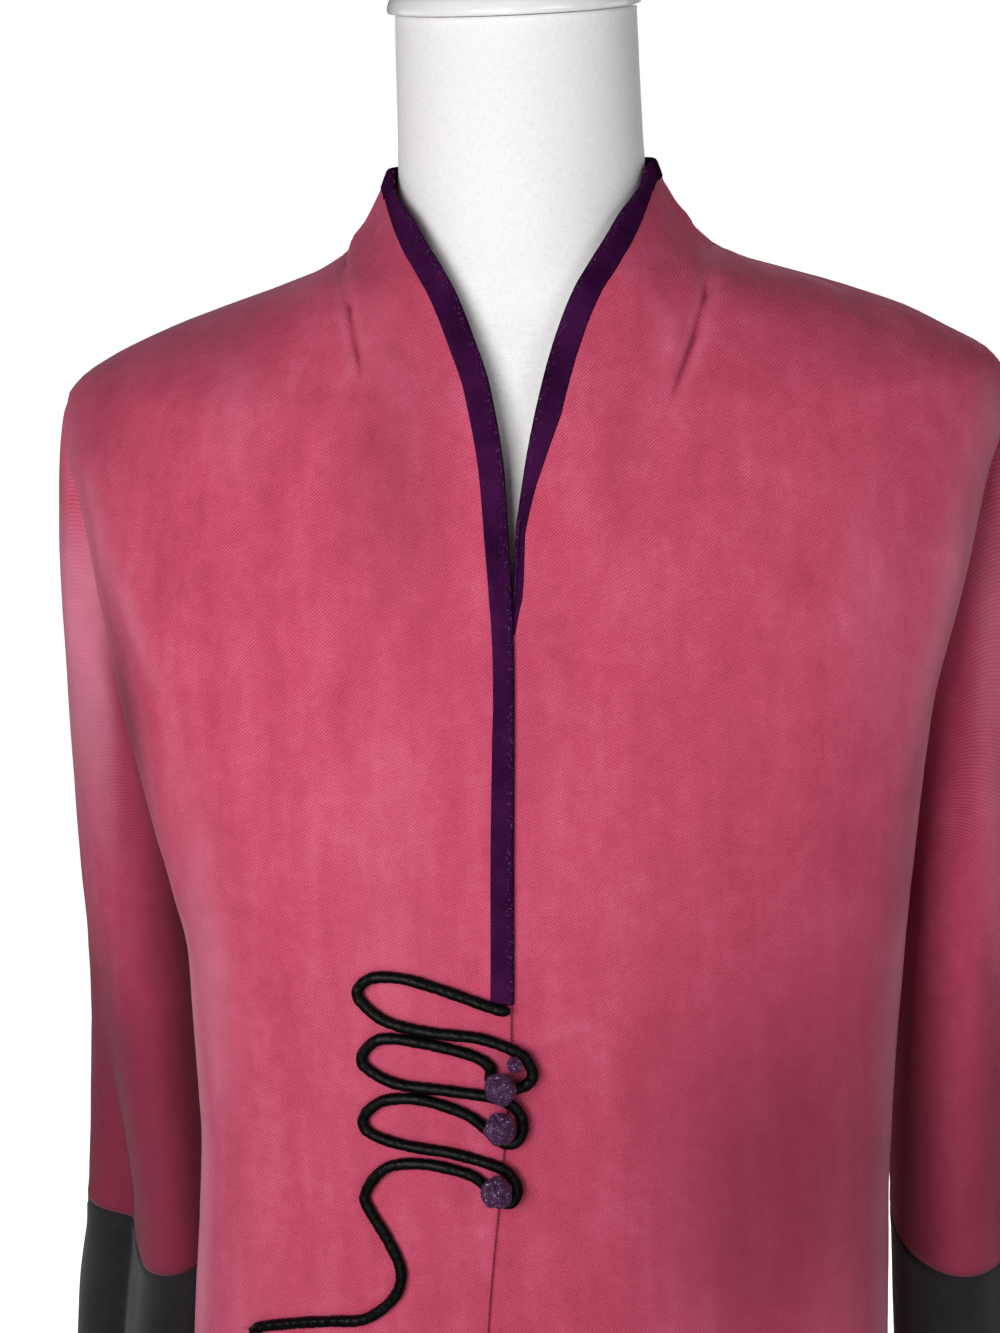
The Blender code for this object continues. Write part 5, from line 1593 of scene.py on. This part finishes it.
def turned_fine(name, profile, finish, node, matrix=None, steps=96, rounded=1):
    """A turned piece from a profile of radius and height, with eased corners."""
    prof = [np.array(p, float) for p in profile]
    for _ in range(rounded):
        new = [prof[0]]
        for i in range(1, len(prof) - 1):
            a, b, c = prof[i - 1], prof[i], prof[i + 1]
            ra = min(0.0012, 0.33 * np.linalg.norm(b - a))
            rc = min(0.0012, 0.33 * np.linalg.norm(c - b))
            new += [b + (a - b) / (np.linalg.norm(a - b) + 1e-12) * ra, b + (c - b) / (np.linalg.norm(c - b) + 1e-12) * rc]
        new.append(prof[-1])
        prof = new
    prof[0] = np.array([max(prof[0][0], 0.0002), prof[0][1]])
    prof[-1] = np.array([max(prof[-1][0], 0.0002), prof[-1][1]])
    theta = np.arange(steps) * 2 * math.pi / steps
    points = np.array([[(r * math.cos(t), r * math.sin(t), z) for t in theta] for r, z in prof])
    if matrix is not None:
        m = np.array(matrix)
        points = points @ m[:3, :3].T + m[:3, 3]
    u = np.linspace(0, 2 * math.pi * max(p[0] for p in prof), steps + 1)
    v = np.concatenate([[0], np.cumsum([np.linalg.norm(prof[i + 1] - prof[i]) for i in range(len(prof) - 1)])])
    uvs = np.stack(np.broadcast_arrays(u[None, :], v[:, None]), -1)
    obj = grid_mesh(name, points, uvs, finish, [node], ring=True, outward=1.0, caps=True)
    return obj


tilt_matrix = (Matrix.Translation((0.0, 0.0, NECK_POINT + CAP_SEAT + 0.0004))
               @ Matrix.Rotation(math.radians(CAP_TILT), 4, "X") @ Matrix.Translation((0.0, 0.003, 0.0)))
turned_fine("form_neck_cap",
            [(0.0, 0.0175), (0.012, 0.01735), (0.024, 0.0168), (0.038, 0.0150), (0.050, 0.0115), (0.0560, 0.0075),
             (CAP_RADIUS, 0.0030), (CAP_RADIUS, 0.0008), (CAP_RADIUS - 0.001, 0.0), (0.0, 0.0)],
            ENAMEL, "form_neck_cap", tilt_matrix, rounded=2)
pole_top = NECK_POINT - 0.684 - 0.0003
turned_fine("form_pole",
            [(0.0, pole_top), (POLE_RADIUS, pole_top), (POLE_RADIUS, pole_top - 0.30), (POLE_RADIUS + 0.0022, pole_top - 0.302),
             (POLE_RADIUS + 0.0022, pole_top - 0.340), (POLE_RADIUS, pole_top - 0.342),
             (POLE_RADIUS, BASE_THICKNESS + 0.0063), (0.0, BASE_THICKNESS + 0.0063)],
            STEEL, "form_pole")
turned_fine("form_base",
            [(0.0, BASE_THICKNESS + 0.006), (0.020, BASE_THICKNESS + 0.006), (0.026, BASE_THICKNESS + 0.002),
             (0.034, BASE_THICKNESS), (BASE_RADIUS - 0.003, BASE_THICKNESS - 0.002),
             (BASE_RADIUS, BASE_THICKNESS - 0.005), (BASE_RADIUS, 0.0), (0.0, 0.0)],
            PAINT, "form_base", steps=128, rounded=2)

# ---------------------------------------------------------------- stage
floor_mesh = bpy.data.meshes.new("floor")
bm = bmesh.new()
bmesh.ops.create_grid(bm, x_segments=2, y_segments=2, size=60.0)
bm.to_mesh(floor_mesh)
bm.free()
floor = bpy.data.objects.new("floor", floor_mesh)
bpy.context.scene.collection.objects.link(floor)
m, tree, shader = sockets("pale_floor", Roughness=0.95)
shader.inputs["Base Color"].default_value = (0.40, 0.40, 0.40, 1.0)
shader.inputs["Emission Color"].default_value = (1.0, 1.0, 1.0, 1.0)
shader.inputs["Emission Strength"].default_value = 0.97
floor_mesh.materials.append(m)
floor.visible_diffuse = False
floor.visible_glossy = False

world = bpy.data.worlds.new("studio")
bpy.context.scene.world = world
world.use_nodes = True
wt = world.node_tree
wt.nodes.clear()
out = wt.nodes.new("ShaderNodeOutputWorld")
light_bg = wt.nodes.new("ShaderNodeBackground")
light_bg.inputs["Color"].default_value = (0.96, 0.97, 1.0, 1.0)
light_bg.inputs["Strength"].default_value = WORLD_LIGHT
seen_bg = wt.nodes.new("ShaderNodeBackground")
seen_bg.inputs["Color"].default_value = (1.0, 1.0, 1.0, 1.0)
seen_bg.inputs["Strength"].default_value = 1.0
ray = wt.nodes.new("ShaderNodeLightPath")
both = wt.nodes.new("ShaderNodeMixShader")
wt.links.new(ray.outputs["Is Camera Ray"], both.inputs[0])
wt.links.new(light_bg.outputs[0], both.inputs[1])
wt.links.new(seen_bg.outputs[0], both.inputs[2])
wt.links.new(both.outputs[0], out.inputs[0])


def area_light(name, at, look, size, power, colour=(1.0, 1.0, 1.0)):
    data = bpy.data.lights.new(name, "AREA")
    data.shape = "RECTANGLE"
    data.size, data.size_y = size
    data.energy = power
    data.color = colour
    obj = bpy.data.objects.new(name, data)
    obj.location = at
    obj.visible_camera = False
    obj.rotation_euler = (Vector(look) - Vector(at)).to_track_quat("-Z", "Y").to_euler()
    bpy.context.scene.collection.objects.link(obj)
    return obj


for name, at, look, size, power, colour in LIGHTS:
    area_light(name, at, look, size, power, colour)

# ---------------------------------------------------------------- camera
data = bpy.data.cameras.new("camera")
data.sensor_fit = "VERTICAL"
data.sensor_height = 36.0
data.sensor_width = 27.0
data.lens = 2291.67 * 36.0 / 1333.0
data.clip_start = 0.05
camera = bpy.data.objects.new("camera", data)
camera.location = CAMERA_AT
aim = (Vector(CAMERA_LOOK) - Vector(CAMERA_AT)).to_track_quat("-Z", "Y")
camera.rotation_euler = (aim.to_matrix().to_4x4() @ Matrix.Rotation(math.radians(CAMERA_ROLL), 4, "Z")).to_euler()
bpy.context.scene.collection.objects.link(camera)
bpy.context.scene.camera = camera
bpy.context.scene.view_settings.view_transform = "Standard"
bpy.context.scene.view_settings.look = "None"

print("AREAS", {k: [round(x, 4) for x in v] for k, v in AREAS.items()}, "cord", round(float(cord_length), 4))
